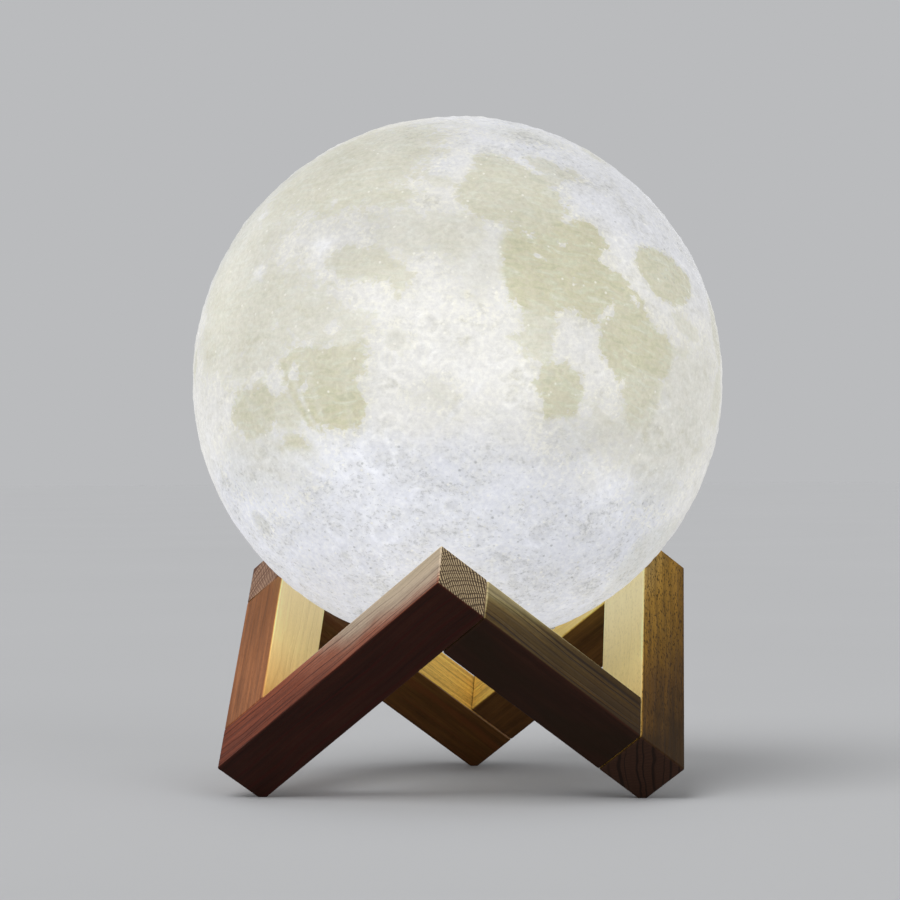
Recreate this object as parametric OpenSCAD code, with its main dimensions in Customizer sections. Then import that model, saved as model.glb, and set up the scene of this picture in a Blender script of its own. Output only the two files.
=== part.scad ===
// Moon lamp: a printed moon globe, lit from inside, that stands in a zigzag ring of six wooden rails.
// The rails follow six edges of a cube whose body diagonal is upright, so all the corners are square.
// Millimetres, +Z up. The origin is on the table, straight under the centre of the globe.

/* [Globe] */
// Outside diameter of the globe
globe_d = 150; // [130:1:180]
// Wall of the printed shell
shell_wall = 2.4; // [1.6:0.1:3.6]
// Air between the globe and the three rail ends that carry it
seat_gap = 0.3; // [0.1:0.1:0.5]

/* [Stand] */
// Thickness of the square rails
rail_t = 16.5; // [14:0.5:20]
// Length of a long rail, which is the side of the stand's cube
rail_len = 90.5; // [84:0.5:100]
// Bevel along the rails' long edges
rail_bevel = 0.6; // [0.2:0.1:1.5]
// Height sanded off the corner that each foot stands on
foot_cut = 0.8; // [0.4:0.1:2]
// Diameter of the dowels hidden in the corners
dowel_d = 6; // [4:0.5:8]
// Length of a dowel, half of it in each rail
dowel_len = 22; // [14:1:26]
// Glue gap round a dowel
dowel_gap = 0.05; // [0.02:0.01:0.2]
// Glue line at each end of a short rail
glue_line = 0.15; // [0.05:0.05:0.4]

/* [Mounting collar] */
// Wall of the collar outside its bayonet groove
collar_wall = 2.4; // [1.6:0.1:3.2]
// Width of the collar's lip inside the shell
collar_lip = 3.5; // [2:0.5:6]
// Thickness of the ledges under and over the groove
ledge_t = 2; // [1.4:0.1:3]
// Glue gap between the collar and the shell
glue_gap = 0.1; // [0.05:0.05:0.2]

/* [Bayonet] */
// Reach of each lug from the housing
lug_reach = 2.2; // [1.4:0.1:3]
// Height of a lug
lug_h = 2.2; // [1.6:0.1:3]
// Width of a lug, in degrees
lug_angle = 16; // [10:1:24]
// Turn from locked to free, in degrees
bayonet_turn = 28; // [22:1:40]
// Room on each side of a lug, in degrees
lug_slack = 2; // [1:0.5:4]
// Running clearance of the housing in the collar
turn_gap = 0.25; // [0.15:0.05:0.4]

/* [Light unit housing] */
// Outside diameter of the housing
base_d = 45.6; // [45:0.2:50]
// Height of the housing, without its lid
base_h = 22; // [21:0.5:26]
// Wall of the housing
base_wall = 1.8; // [1.4:0.1:2]
// Thickness of the housing's floor and flange
floor_t = 2; // [1.6:0.1:2.6]
// How far the floor stands out below the globe's rim
base_proud = 0.6; // [0.2:0.1:1.5]
// Gap round the flange in the globe's mouth
flange_gap = 0.4; // [0.2:0.1:0.8]
// Gap between the flange and the collar
collar_gap = 0.2; // [0.1:0.05:0.4]
// Thickness of the housing's lid
lid_t = 2; // [1.6:0.1:3]

/* [Electronics] */
// Thickness of the main board
board_t = 1.2; // [0.8:0.1:1.6]
// Height of the main board above the floor
board_stand = 6.3; // [6.1:0.1:6.8]
// Length of the battery
battery_l = 30; // [24:1:31]
// Width of the battery
battery_w = 24; // [18:1:26]
// Thickness of the battery
battery_t = 8; // [6:0.5:9]
// Thickness of the foam pad under the battery
pad_t = 1; // [0.5:0.1:1.5]
// Travel of the power button
button_travel = 1.2; // [0.6:0.1:1.4]
// Diameter of the power button
button_d = 8.4; // [7:0.1:9]

/* [Light source] */
// Height of the post that lifts the LEDs into the globe
post_h = 18; // [12:1:30]
// Diameter of the post's tube
post_d = 12; // [11:0.5:13]
// Diameter of the post's top flange
post_top_d = 28; // [26:0.2:34]
// Thickness of the LED board
led_board_t = 1.6; // [1:0.2:2]
// Wall of the diffuser dome
dome_wall = 1.2; // [0.8:0.1:2]

/* [Hidden] */
$fn = 96;

eps = 0.01;         // overshoot of a cut
hole_room = 0.5;    // how much deeper a blind hole is than what goes into it
trim_over = 1;      // how far the block that trims a dome stands out past it
three = [0, 120, 240];

// The stand's cube: its edges make the same angle with the floor
diag = sqrt(3);
tip = atan(sqrt(2));
front_turn = 30;    // brings one raised corner to the front, -Y
edge_len = rail_len - rail_bevel;
floor_z = (rail_len - rail_t + rail_bevel) / diag + foot_cut;
dowel_hole_d = dowel_d + 2 * dowel_gap;
dowel_hole_depth = dowel_len / 2 + hole_room;
floor_slab = 60;    // thickness and width of the block that trims the feet
floor_slab_w = 6 * rail_len;

// Where the globe's centre comes to rest, as a distance along each edge of the cube:
// on the top faces of the raised corners, or on their outer or inner edges
globe_r = globe_d / 2;
inner_r = globe_r - shell_wall;
reach = globe_r + seat_gap;
inner_edge = rail_len - rail_t + rail_bevel;
on_outer_edge = (rail_t + 2 * edge_len
    + sqrt(pow(rail_t + 2 * edge_len, 2)
           - 3 * (rail_t * rail_t + 2 * edge_len * edge_len - reach * reach))) / 3;
on_inner_edge = (rail_t + inner_edge
    + sqrt(pow(rail_t + inner_edge, 2)
           - 2 * (rail_t * rail_t + inner_edge * inner_edge - reach * reach))) / 2;
seat = reach + rail_t > edge_len ? on_outer_edge
     : reach + rail_t > inner_edge ? reach + rail_t
     : on_inner_edge;
globe_z = seat * diag - floor_z;

// Radii of the light unit and its collar, from the inside out
base_r = base_d / 2;
pocket_r = base_r - base_wall;
bore_r = base_r + turn_gap;
lug_r = base_r + lug_reach;
groove_r = lug_r + turn_gap;
neck_r = groove_r + collar_wall;
mouth_r = neck_r + glue_gap;
flange_r = mouth_r - flange_gap;

// Heights from the globe's centre
rim_z = -sqrt(globe_r * globe_r - mouth_r * mouth_r);
base_z = rim_z - base_proud;
floor_top = base_z + floor_t;
collar_z = floor_top + collar_gap;
groove_z = collar_z + ledge_t;
groove_h = lug_h + 2 * collar_gap;
collar_top = groove_z + groove_h + ledge_t;
board_z = floor_top + board_stand;
board_top = board_z + board_t;
pad_top = board_top + pad_t;
battery_top = pad_top + battery_t;
lid_z = base_z + base_h;
lid_top = lid_z + lid_t;
post_top = lid_top + post_h;

// Screws: shank and head sizes, and the room round a shank
lid_screw = [2, 8, 3.8, 1.3];        // shank diameter, length, head diameter, head height
board_screw = [1.6, 4, 3.2, 1.1];
post_screw = [1.8, 4, 3.4, 1.2];
led_screw = [1.6, 3, 3, 1];
pilot_gap = 0.05;
clearance_gap = 0.2;

// Places on the housing's floor and lid
boss_room = 0.6;
boss_foot_r = 3.4;
boss_r = 2.5;
lid_screw_y = pocket_r - boss_foot_r - boss_room;
board_post_r = 2.2;
board_screw_x = pocket_r - board_post_r - 2 * boss_room;
board_edge_gap = 0.5;
button_x = 9.5;
usb_x = -9.5;
charge_led_y = -9.5;
post_screw_x = 8.5;
post_foot_r = 11;
post_foot_t = 1.8;
post_bore_r = 4;
peg_r = 2.2;
peg_h = 1.4;
lid_ring_w = 1.2;
lid_ring_h = 1.2;
lid_ring_gap = 0.15;
groove_over = 1;    // how far a groove runs on past its slot, in degrees

// Switch, button, socket and charge LED
switch_size = [7, 7, 3.4];
switch_bore_d = 3.5;
switch_bore_depth = 2.8;
plunger_d = 3.2;
button_gap = 0.2;
button_rim = 1.2;
button_rim_t = 1;
button_recess = 0.2;
usb_size = [2.6, 7.5];
usb_wall = 0.3;
usb_recess = 0.4;
usb_gap = 0.3;
tongue_size = [0.6, 5.4];
tongue_recess = 1;
insulator_h = 1.5;
insulator_gap = 0.02;
charge_led_d = 3;
charge_led_h = 4.6;
charge_led_gap = 0.1;
charge_led_recess = 0.1;
led_lead_d = 0.5;
led_lead_pitch = 1.6;

// LEDs and wires
led_ring_margin = 6.5;      // from the edge of the post's top flange to the ring of LEDs
led_ring_r = post_top_d / 2 - led_ring_margin;
led_size = [3.5, 2.8, 0.8];
led_board_gap = 0.4;
led_screw_margin = 1.3;     // from that edge to a screw's head
led_screw_x = post_top_d / 2 - led_screw_margin - led_screw[2] / 2;
dome_gap = 0.2;
wire_d = 1.2;
battery_wire_d = 1;
battery_wire_y = 4;
battery_wire_drop = 2;
battery_wire_bend = 1.2;
led_wire_foot_x = 4.5;
led_wire_gap = 0.8;
led_wire_bend = 1.2;
led_wire_x = 1.8;

// Under the main board: each part's centre, then its length, width and height
charger_chip = [0, 3, 5, 4, 1.5];
control_chip = [1, 9, 5, 6.2, 1.7];
boost_coil = [-10, 10, 4, 3, 1.8];
guard_chip = [9, -9, 3, 3, 1];
pad_margin = [4, 8];

rail_wood = "peru";
pale_wood = "burlywood";
moon_white = "ivory";
white_plastic = "whitesmoke";

// ---- helpers ----

// Tips the cube on its corner: edges along X, Y and Z come to azimuths -30, 90 and 210
module on_corner() {
    translate([0, 0, -floor_z]) rotate([0, 0, front_turn]) rotate([0, -tip, 0]) rotate([0, 0, -45])
        children();
}

// Leaves what stands above the table
module above_floor() {
    difference() {
        children();
        translate([0, 0, -floor_slab / 2])
            cube([floor_slab_w, floor_slab_w, floor_slab], center = true);
    }
}

module at_globe() {
    translate([0, 0, globe_z]) children();
}

// A square bar along Z with bevelled long edges, its corner at the origin
module bar(length) {
    b = rail_bevel;
    t = rail_t;
    linear_extrude(length)
        polygon([[b, 0], [t - b, 0], [t, b], [t, t - b], [t - b, t], [b, t], [0, t - b], [0, b]]);
}

// A sector of a ring, turned about Z
module sector(r0, r1, h, from, to) {
    rotate([0, 0, from]) rotate_extrude(angle = to - from) translate([r0, 0]) square([r1 - r0, h]);
}

// A pan-head screw, head up, with its head's underside at the origin
module screw(size) {
    translate([0, 0, -size[1]]) cylinder(d = size[0], h = size[1]);
    cylinder(d = size[2], h = size[3]);
}

// The hole that a screw cuts its thread in
module pilot(size) {
    translate([0, 0, -size[1] - hole_room])
        cylinder(d = size[0] + 2 * pilot_gap, h = size[1] + hole_room + eps);
}

// A quarter ring of wire in the XZ plane, from the given angle on, 90 degrees being up
module wire_bend(d, bend, from) {
    rotate([90, 0, 0]) rotate([0, 0, from]) rotate_extrude(angle = 90) translate([bend, 0]) circle(d = d);
}

// Copies at X and at -X
module pair_x(x) {
    for (side = [-1, 1]) translate([side * x, 0, 0]) children();
}

module pair_y(y) {
    for (side = [-1, 1]) translate([0, side * y, 0]) children();
}

// ---- stand ----

// One long rail runs along the cube's X edge, from a foot up to a raised corner, and owns both corners
module long_rail_blank() {
    mid = rail_t / 2;
    difference() {
        translate([0, 0, rail_len]) rotate([0, 90, 0]) bar(rail_len);
        // the front short rail's dowel, in the raised corner
        translate([rail_len - mid, mid, rail_len - rail_t - eps])
            cylinder(d = dowel_hole_d, h = dowel_hole_depth + eps);
        // the left short rail's dowel, in the foot
        translate([mid, rail_t + eps, rail_len - mid]) rotate([90, 0, 0])
            cylinder(d = dowel_hole_d, h = dowel_hole_depth + eps);
    }
}

// One short rail runs along the cube's Z edge, and butts on a long rail at each end
module short_rail_blank() {
    mid = rail_t / 2;
    short_len = rail_len - 2 * rail_t - 2 * glue_line;
    translate([rail_len - rail_t, 0, rail_t + glue_line]) difference() {
        bar(short_len);
        translate([mid, mid, -eps]) cylinder(d = dowel_hole_d, h = dowel_hole_depth + eps);
        translate([mid, mid, short_len - dowel_hole_depth])
            cylinder(d = dowel_hole_d, h = dowel_hole_depth + eps);
    }
}

module long_rail(turn) {
    color(rail_wood) above_floor() rotate([0, 0, turn]) on_corner() long_rail_blank();
}

module short_rail(turn) {
    color(rail_wood) rotate([0, 0, turn]) on_corner() short_rail_blank();
}

// Both ends of each short rail are doweled, on the rail's own axis
module rail_dowels() {
    color(pale_wood) for (turn = three) rotate([0, 0, turn]) on_corner()
        for (joint = [rail_t, rail_len - rail_t])
            translate([rail_len - rail_t / 2, rail_t / 2, joint - dowel_len / 2])
                cylinder(d = dowel_d, h = dowel_len);
}

// ---- globe ----

module moon_shell() {
    color(moon_white) at_globe() difference() {
        sphere(globe_r);
        sphere(inner_r);
        translate([0, 0, -globe_r - eps]) cylinder(r = mouth_r, h = globe_r);
    }
}

// The collar's section: a neck in the mouth, and a lip that follows the inside of the shell
module collar_profile() {
    height = collar_top - collar_z;
    translate([bore_r, collar_z]) square([neck_r - bore_r, height]);
    intersection() {
        circle(inner_r - glue_gap);
        translate([bore_r, collar_z]) square([mouth_r + collar_lip - bore_r, height]);
    }
}

// A ring glued in the mouth, with a groove for each lug and a slot that lets the lug up into it
module mounting_collar() {
    half_lug = lug_angle / 2 + lug_slack;
    slot_h = ledge_t + groove_h / 2;
    color(white_plastic) at_globe() difference() {
        rotate_extrude() collar_profile();
        for (a = three) {
            translate([0, 0, groove_z])
                sector(base_r, groove_r, groove_h, a - half_lug, a + bayonet_turn + half_lug + groove_over);
            translate([0, 0, collar_z - eps])
                sector(base_r, groove_r, slot_h, a + bayonet_turn - half_lug, a + bayonet_turn + half_lug);
        }
    }
}

// ---- light unit ----

module housing_bosses() {
    pair_y(lid_screw_y) difference() {
        union() {
            translate([0, 0, floor_top - eps]) cylinder(r = boss_foot_r, h = board_z - floor_top + eps);
            translate([0, 0, board_z]) cylinder(r = boss_r, h = lid_z - board_z);
        }
        translate([0, 0, lid_z + eps]) pilot(lid_screw);
    }
    pair_x(board_screw_x) difference() {
        translate([0, 0, floor_top - eps]) cylinder(r = board_post_r, h = board_z - floor_top + eps);
        translate([0, 0, board_z + eps]) pilot(board_screw);
    }
}

module base_housing() {
    color(white_plastic) at_globe() {
        difference() {
            union() {
                translate([0, 0, base_z]) cylinder(r = flange_r, h = floor_t);
                translate([0, 0, base_z]) cylinder(r = base_r, h = base_h);
                for (a = three) translate([0, 0, groove_z + collar_gap])
                    sector(base_r - base_wall / 2, lug_r, lug_h, a - lug_angle / 2, a + lug_angle / 2);
            }
            translate([0, 0, floor_top]) cylinder(r = pocket_r, h = base_h);
            translate([button_x, 0, base_z - eps])
                cylinder(d = button_d + 2 * button_gap, h = floor_t + 2 * eps);
            translate([usb_x, 0, base_z + floor_t / 2])
                cube([usb_size[0] + 2 * usb_gap, usb_size[1] + 2 * usb_gap, floor_t + 2 * eps],
                     center = true);
            translate([0, charge_led_y, base_z - eps])
                cylinder(d = charge_led_d + 2 * charge_led_gap, h = floor_t + 2 * eps);
        }
        housing_bosses();
    }
}

module housing_lid() {
    color(white_plastic) at_globe() difference() {
        union() {
            translate([0, 0, lid_z]) cylinder(r = base_r, h = lid_t);
            translate([0, 0, lid_z - lid_ring_h])
                difference() {
                    cylinder(r = pocket_r - lid_ring_gap, h = lid_ring_h + eps);
                    translate([0, 0, -eps])
                        cylinder(r = pocket_r - lid_ring_gap - lid_ring_w, h = lid_ring_h + eps);
                }
            pair_x(post_screw_x) translate([0, 0, lid_z - peg_h]) cylinder(r = peg_r, h = peg_h + eps);
        }
        translate([0, 0, lid_z - eps]) cylinder(r = post_bore_r, h = lid_t + 2 * eps);
        pair_y(lid_screw_y) translate([0, 0, lid_z - eps])
            cylinder(d = lid_screw[0] + 2 * clearance_gap, h = lid_t + 2 * eps);
        pair_x(post_screw_x) translate([0, 0, lid_top + post_foot_t + eps]) pilot(post_screw);
    }
}

module lid_screws() {
    color("silver") at_globe() pair_y(lid_screw_y) translate([0, 0, lid_top]) screw(lid_screw);
}

module main_board() {
    color("seagreen") at_globe() translate([0, 0, board_z]) difference() {
        cylinder(r = pocket_r - board_edge_gap, h = board_t);
        pair_y(lid_screw_y) translate([0, 0, -eps])
            cylinder(r = boss_r + clearance_gap, h = board_t + 2 * eps);
        pair_x(board_screw_x) translate([0, 0, -eps])
            cylinder(d = board_screw[0] + 2 * clearance_gap, h = board_t + 2 * eps);
    }
}

module board_screws() {
    color("silver") at_globe() pair_x(board_screw_x) translate([0, 0, board_top]) screw(board_screw);
}

// Parts soldered to the board's underside
module board_chips() {
    color("black") at_globe() for (chip = [charger_chip, control_chip, boost_coil, guard_chip])
        translate([chip[0], chip[1], board_z - chip[4] / 2])
            cube([chip[2], chip[3], chip[4]], center = true);
}

// A pouch cell, whose long sides are folded round
module battery() {
    fold = battery_t / 2;
    color("lightsteelblue") at_globe() translate([0, 0, pad_top + fold]) {
        cube([battery_l, battery_w - 2 * fold, battery_t], center = true);
        pair_y(battery_w / 2 - fold) rotate([0, 90, 0]) cylinder(r = fold, h = battery_l, center = true);
    }
}

module battery_pad() {
    color("dimgray") at_globe() translate([0, 0, board_top + pad_t / 2])
        cube([battery_l - pad_margin[0], battery_w - pad_margin[1], pad_t], center = true);
}

// Two leads that bend down from the cell's end to the main board
module battery_leads() {
    bend = battery_wire_bend;
    bend_z = battery_top - battery_wire_drop - bend;
    color("firebrick") at_globe() pair_y(battery_wire_y) translate([battery_l / 2, 0, 0]) {
        translate([0, 0, bend_z]) wire_bend(battery_wire_d, bend, 0);
        translate([bend, 0, board_top]) cylinder(d = battery_wire_d, h = bend_z - board_top);
    }
}

module usb_socket() {
    depth = board_z - base_z - usb_recess;
    color("silver") at_globe() translate([usb_x, 0, base_z + usb_recess + depth / 2]) difference() {
        cube([usb_size[0], usb_size[1], depth], center = true);
        cube([usb_size[0] - 2 * usb_wall, usb_size[1] - 2 * usb_wall, depth + 2 * eps], center = true);
    }
}

// The insulator that closes the socket's back, with the contact tongue that stands in it
module usb_tongue() {
    slack = 2 * usb_wall + 2 * insulator_gap;
    tip_z = base_z + usb_recess + tongue_recess;
    color("black") at_globe() translate([usb_x, 0, 0]) {
        translate([0, 0, board_z - insulator_h / 2])
            cube([usb_size[0] - slack, usb_size[1] - slack, insulator_h], center = true);
        translate([0, 0, (tip_z + board_z) / 2])
            cube([tongue_size[0], tongue_size[1], board_z - tip_z], center = true);
    }
}

module push_switch() {
    color("dimgray") at_globe() translate([button_x, 0, board_z - switch_size[2] / 2]) difference() {
        cube(switch_size, center = true);
        translate([0, 0, -switch_size[2] / 2 - eps])
            cylinder(d = switch_bore_d, h = switch_bore_depth + eps);
    }
}

// A round LED on two leads, with its dome in the floor's light hole
module charge_led() {
    r = charge_led_d / 2;
    foot = base_z + charge_led_recess;
    color("tomato") at_globe() translate([0, charge_led_y, 0]) {
        translate([0, 0, foot + r]) sphere(r);
        translate([0, 0, foot + r]) cylinder(r = r, h = charge_led_h - r);
        pair_x(led_lead_pitch / 2) translate([0, 0, foot + charge_led_h - eps])
            cylinder(d = led_lead_d, h = board_z - foot - charge_led_h + eps, $fn = 24);
    }
}

// ---- button ----

module power_button() {
    color(white_plastic) at_globe() translate([button_x, 0, 0]) {
        translate([0, 0, base_z + button_recess])
            cylinder(d = button_d, h = floor_t - button_recess + button_rim_t);
        translate([0, 0, floor_top]) cylinder(d = button_d + 2 * button_rim, h = button_rim_t);
    }
}

// Carries the button's push into the switch, with its travel left free above it
module switch_plunger() {
    foot = floor_top + button_rim_t;
    top = board_z - switch_size[2] + switch_bore_depth - button_travel - clearance_gap;
    color("dimgray") at_globe() translate([button_x, 0, foot]) cylinder(d = plunger_d, h = top - foot);
}

// ---- light source ----

module led_post() {
    flange_t = post_foot_t;
    color(white_plastic) at_globe() difference() {
        union() {
            translate([0, 0, lid_top]) cylinder(r = post_foot_r, h = post_foot_t);
            translate([0, 0, lid_top]) cylinder(d = post_d, h = post_h);
            translate([0, 0, post_top - flange_t]) cylinder(d = post_top_d, h = flange_t);
        }
        translate([0, 0, lid_top - eps]) cylinder(r = post_bore_r, h = post_h + 2 * eps);
        pair_x(post_screw_x) translate([0, 0, lid_top - eps])
            cylinder(d = post_screw[0] + 2 * clearance_gap, h = post_foot_t + 2 * eps);
        pair_x(led_screw_x) translate([0, 0, post_top + led_board_t + eps]) pilot(led_screw);
    }
}

module post_screws() {
    color("silver") at_globe() pair_x(post_screw_x)
        translate([0, 0, lid_top + post_foot_t]) screw(post_screw);
}

module led_board() {
    color("white") at_globe() translate([0, 0, post_top]) difference() {
        cylinder(d = post_top_d - 2 * led_board_gap, h = led_board_t);
        pair_x(led_screw_x) translate([0, 0, -eps])
            cylinder(d = led_screw[0] + 2 * clearance_gap, h = led_board_t + 2 * eps);
    }
}

module led_board_screws() {
    color("silver") at_globe() pair_x(led_screw_x)
        translate([0, 0, post_top + led_board_t]) screw(led_screw);
}

// Three LEDs of one colour, a third of a turn apart
module led_chips(start) {
    at_globe() for (a = three) rotate([0, 0, a + start])
        translate([led_ring_r, 0, post_top + led_board_t + led_size[2] / 2])
            cube([led_size[1], led_size[0], led_size[2]], center = true);
}

module warm_leds() {
    color("gold") led_chips(30);
}

module cool_leds() {
    color("lightyellow") led_chips(90);
}

// One lead in the XZ plane: up past the battery, over it, and up the post to the LED board
module led_lead(over) {
    bend = led_wire_bend;
    rise = (battery_top + lid_z) / 2;
    translate([0, 0, board_top]) cylinder(d = wire_d, h = rise - bend - board_top);
    translate([bend, 0, rise - bend]) wire_bend(wire_d, bend, 90);
    translate([bend, 0, rise]) rotate([0, 90, 0]) cylinder(d = wire_d, h = over - 2 * bend);
    translate([over - bend, 0, rise + bend]) wire_bend(wire_d, bend, -90);
    translate([over, 0, rise + bend]) cylinder(d = wire_d, h = post_top - rise - bend);
}

module led_leads() {
    foot_y = (battery_w + wire_d) / 2 + led_wire_gap;
    run_x = led_wire_foot_x - led_wire_x;
    color("firebrick") at_globe() for (side = [0, 1]) mirror([side, 0, 0])
        translate([led_wire_foot_x, foot_y, 0]) rotate([0, 0, atan2(-foot_y, -run_x)])
            led_lead(norm([foot_y, run_x]));
}

// A milky dome whose skirt closes round the post's top flange
module diffuser_dome() {
    in_r = post_top_d / 2 + dome_gap;
    out_r = in_r + dome_wall;
    color("white", 0.6) at_globe() translate([0, 0, post_top]) difference() {
        union() {
            sphere(out_r);
            translate([0, 0, -post_foot_t]) cylinder(r = out_r, h = post_foot_t);
        }
        sphere(in_r);
        translate([0, 0, -post_foot_t - eps]) cylinder(r = in_r, h = post_foot_t + eps);
        translate([0, 0, -post_foot_t - out_r]) cylinder(r = out_r + trim_over, h = out_r);
    }
}

// ---- nodes ----

long_rail(0);  // front_long_rail
long_rail(120);  // right_long_rail
long_rail(240);  // rear_long_rail
short_rail(0);  // front_short_rail
short_rail(120);  // rear_short_rail
short_rail(240);  // left_short_rail
rail_dowels();
moon_shell();
mounting_collar();
base_housing();
housing_lid();
lid_screws();
main_board();
board_screws();
board_chips();
battery();
battery_pad();
battery_leads();
usb_socket();
usb_tongue();
push_switch();
charge_led();
power_button();
switch_plunger();
led_post();
post_screws();
led_board();
led_board_screws();
warm_leds();
cool_leds();
led_leads();
diffuser_dome();
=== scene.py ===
import math
import bmesh
import bpy
import numpy as np
from mathutils import Euler, Matrix, Vector, noise


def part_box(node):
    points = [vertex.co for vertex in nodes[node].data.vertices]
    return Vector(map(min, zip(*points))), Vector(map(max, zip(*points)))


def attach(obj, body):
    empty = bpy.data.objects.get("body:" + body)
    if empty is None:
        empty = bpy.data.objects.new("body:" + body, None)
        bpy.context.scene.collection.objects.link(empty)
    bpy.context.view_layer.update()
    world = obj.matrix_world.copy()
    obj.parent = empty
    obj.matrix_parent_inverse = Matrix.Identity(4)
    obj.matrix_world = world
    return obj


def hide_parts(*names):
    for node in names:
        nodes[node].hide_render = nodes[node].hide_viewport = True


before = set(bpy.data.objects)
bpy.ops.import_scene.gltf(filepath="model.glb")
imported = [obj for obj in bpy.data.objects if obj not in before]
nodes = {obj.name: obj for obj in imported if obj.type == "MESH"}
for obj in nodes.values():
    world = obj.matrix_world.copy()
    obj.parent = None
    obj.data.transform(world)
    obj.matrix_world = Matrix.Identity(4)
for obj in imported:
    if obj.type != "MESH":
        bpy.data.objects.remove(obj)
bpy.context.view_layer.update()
mm = 0.001
random = np.random.default_rng(1969)

# the globe as the CAD has it: its top gives the centre's height
globeR = 75 * mm
shellWall = 2.4 * mm
mouthR = 27.75 * mm
globeCentre = Vector((0, 0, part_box("moon_shell")[1].z - globeR))


def linear(hexColour):
    # an sRGB hex value, as the linear colour that the sockets take
    channels = [int(hexColour[i:i + 2], 16) / 255 for i in (1, 3, 5)]
    return [c / 12.92 if c <= 0.04045 else ((c + 0.055) / 1.055) ** 2.4 for c in channels] + [1.0]


def newMaterial(name):
    material = bpy.data.materials.new(name)
    material.use_nodes = True
    material.node_tree.nodes.clear()
    return material


def addNode(material, kind, inputs=None, stops=None, **settings):
    # an input is a value, or the output that feeds it; a colour mix has its colours at 6 and 7, and a stop
    # of a ramp has a hex value or a linear colour
    tree = material.node_tree
    node = tree.nodes.new("ShaderNode" + kind)
    for name, value in settings.items():
        setattr(node, name, value)
    for socket, value in (inputs or {}).items():
        if isinstance(value, bpy.types.NodeSocket):
            tree.links.new(value, node.inputs[socket])
        else:
            node.inputs[socket].default_value = value
    for i, (position, colour) in enumerate(stops or []):
        elements = node.color_ramp.elements
        element = elements[i] if i < 2 else elements.new(position)
        element.position = position
        element.color = linear(colour) if isinstance(colour, str) else colour
    return node


def finishMaterial(material, shader):
    addNode(material, "OutputMaterial", {"Surface": shader.outputs[0]})
    return material


def dress(piece, material):
    piece.data.materials.clear()
    piece.data.materials.append(material)


# the camera, read from the photo: its lens and sensor in mm, and where it stands for the stand's corners to
# fall where they do
camera = {"lens": 126.24, "sensor": 36, "nearest": 20 * mm, "farthest": 60,
          "place": (65.86 * mm, -895.49 * mm, 92.24 * mm),
          "azimuth": math.radians(4.35), "elevation": math.radians(-0.213), "roll": math.radians(-0.30)}


def makeCamera():
    data = bpy.data.cameras.new("camera")
    data.lens = camera["lens"]
    data.sensor_width = camera["sensor"]
    data.clip_start = camera["nearest"]
    data.clip_end = camera["farthest"]
    view = bpy.data.objects.new("camera", data)
    bpy.context.scene.collection.objects.link(view)
    tilt = Euler((math.pi / 2 - camera["elevation"], 0, camera["azimuth"])).to_matrix()
    rolled = tilt @ Matrix.Rotation(camera["roll"], 3, "Z")
    view.matrix_world = Matrix.Translation(camera["place"]) @ rolled.to_4x4()
    bpy.context.scene.camera = view


# floor, backdrop and light, in metres: the key is a wide soft light from above and to the left, the fill a
# weaker one from the right, each with its strength and its turns about X, Y and Z in degrees
stage = {"size": 24.0, "squares": 24, "floorPale": "#BFC0C2", "floorDark": "#BDBEC0", "cloudsPerMetre": 3.0,
         "backdrop": "#BABBBD", "skyLight": 0.50, "skyColour": "#FFFFFF", "sunAngle": 38,
         "suns": {"key": (1.5, (30, -22, 0)), "fill": (0.35, (62, 0, 40))}}


def makeStage():
    bm = bmesh.new()
    bmesh.ops.create_grid(bm, x_segments=stage["squares"], y_segments=stage["squares"],
                          size=stage["size"] / 2)
    mesh = bpy.data.meshes.new("floor")
    bm.to_mesh(mesh)
    bm.free()
    floor = bpy.data.objects.new("floor", mesh)
    bpy.context.scene.collection.objects.link(floor)

    # painted board: matte, with a breath of unevenness so that it isn't a flat fill
    paint = newMaterial("matte_paint")
    place = addNode(paint, "TexCoord")
    cloud = addNode(paint, "TexNoise", {"Vector": place.outputs["Object"], "Scale": stage["cloudsPerMetre"],
                                        "Detail": 3.0})
    tone = addNode(paint, "ValToRGB", {"Fac": cloud.outputs["Fac"]},
                   stops=[(0.3, stage["floorDark"]), (0.7, stage["floorPale"])])
    finishMaterial(paint, addNode(paint, "BsdfPrincipled", {"Base Color": tone.outputs["Color"],
                                                            "Roughness": 0.85, "Specular IOR Level": 0.2}))
    dress(floor, paint)

    # the backdrop shows to the eye, in reflections and through clear things; the light itself is white
    world = bpy.data.worlds.new("studio")
    bpy.context.scene.world = world
    world.use_nodes = True
    world.node_tree.nodes.clear()
    path = addNode(world, "LightPath")
    seen = addNode(world, "Math", {0: path.outputs["Is Camera Ray"], 1: path.outputs["Is Glossy Ray"]},
                   operation="MAXIMUM")
    seenToo = addNode(world, "Math", {0: seen.outputs[0], 1: path.outputs["Is Transmission Ray"]},
                      operation="MAXIMUM")
    light = addNode(world, "Background", {"Color": linear(stage["skyColour"]),
                                          "Strength": stage["skyLight"]})
    backdrop = addNode(world, "Background", {"Color": linear(stage["backdrop"]), "Strength": 1.0})
    mixed = addNode(world, "MixShader",
                    {0: seenToo.outputs[0], 1: light.outputs[0], 2: backdrop.outputs[0]})
    addNode(world, "OutputWorld", {"Surface": mixed.outputs[0]})

    for name, (strength, turn) in stage["suns"].items():
        data = bpy.data.lights.new(name, "SUN")
        data.energy = strength
        data.angle = math.radians(stage["sunAngle"])
        lamp = bpy.data.objects.new(name, data)
        lamp.rotation_euler = [math.radians(a) for a in turn]
        bpy.context.scene.collection.objects.link(lamp)


# the moon's own axes (0 east, 90 east, north) as columns in the lamp's frame: which side faces the room
moonTurn = Matrix(((-0.1002, 0.9902, 0.0976), (-0.9565, -0.1228, 0.2645), (0.2739, -0.0669, 0.9594)))

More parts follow.
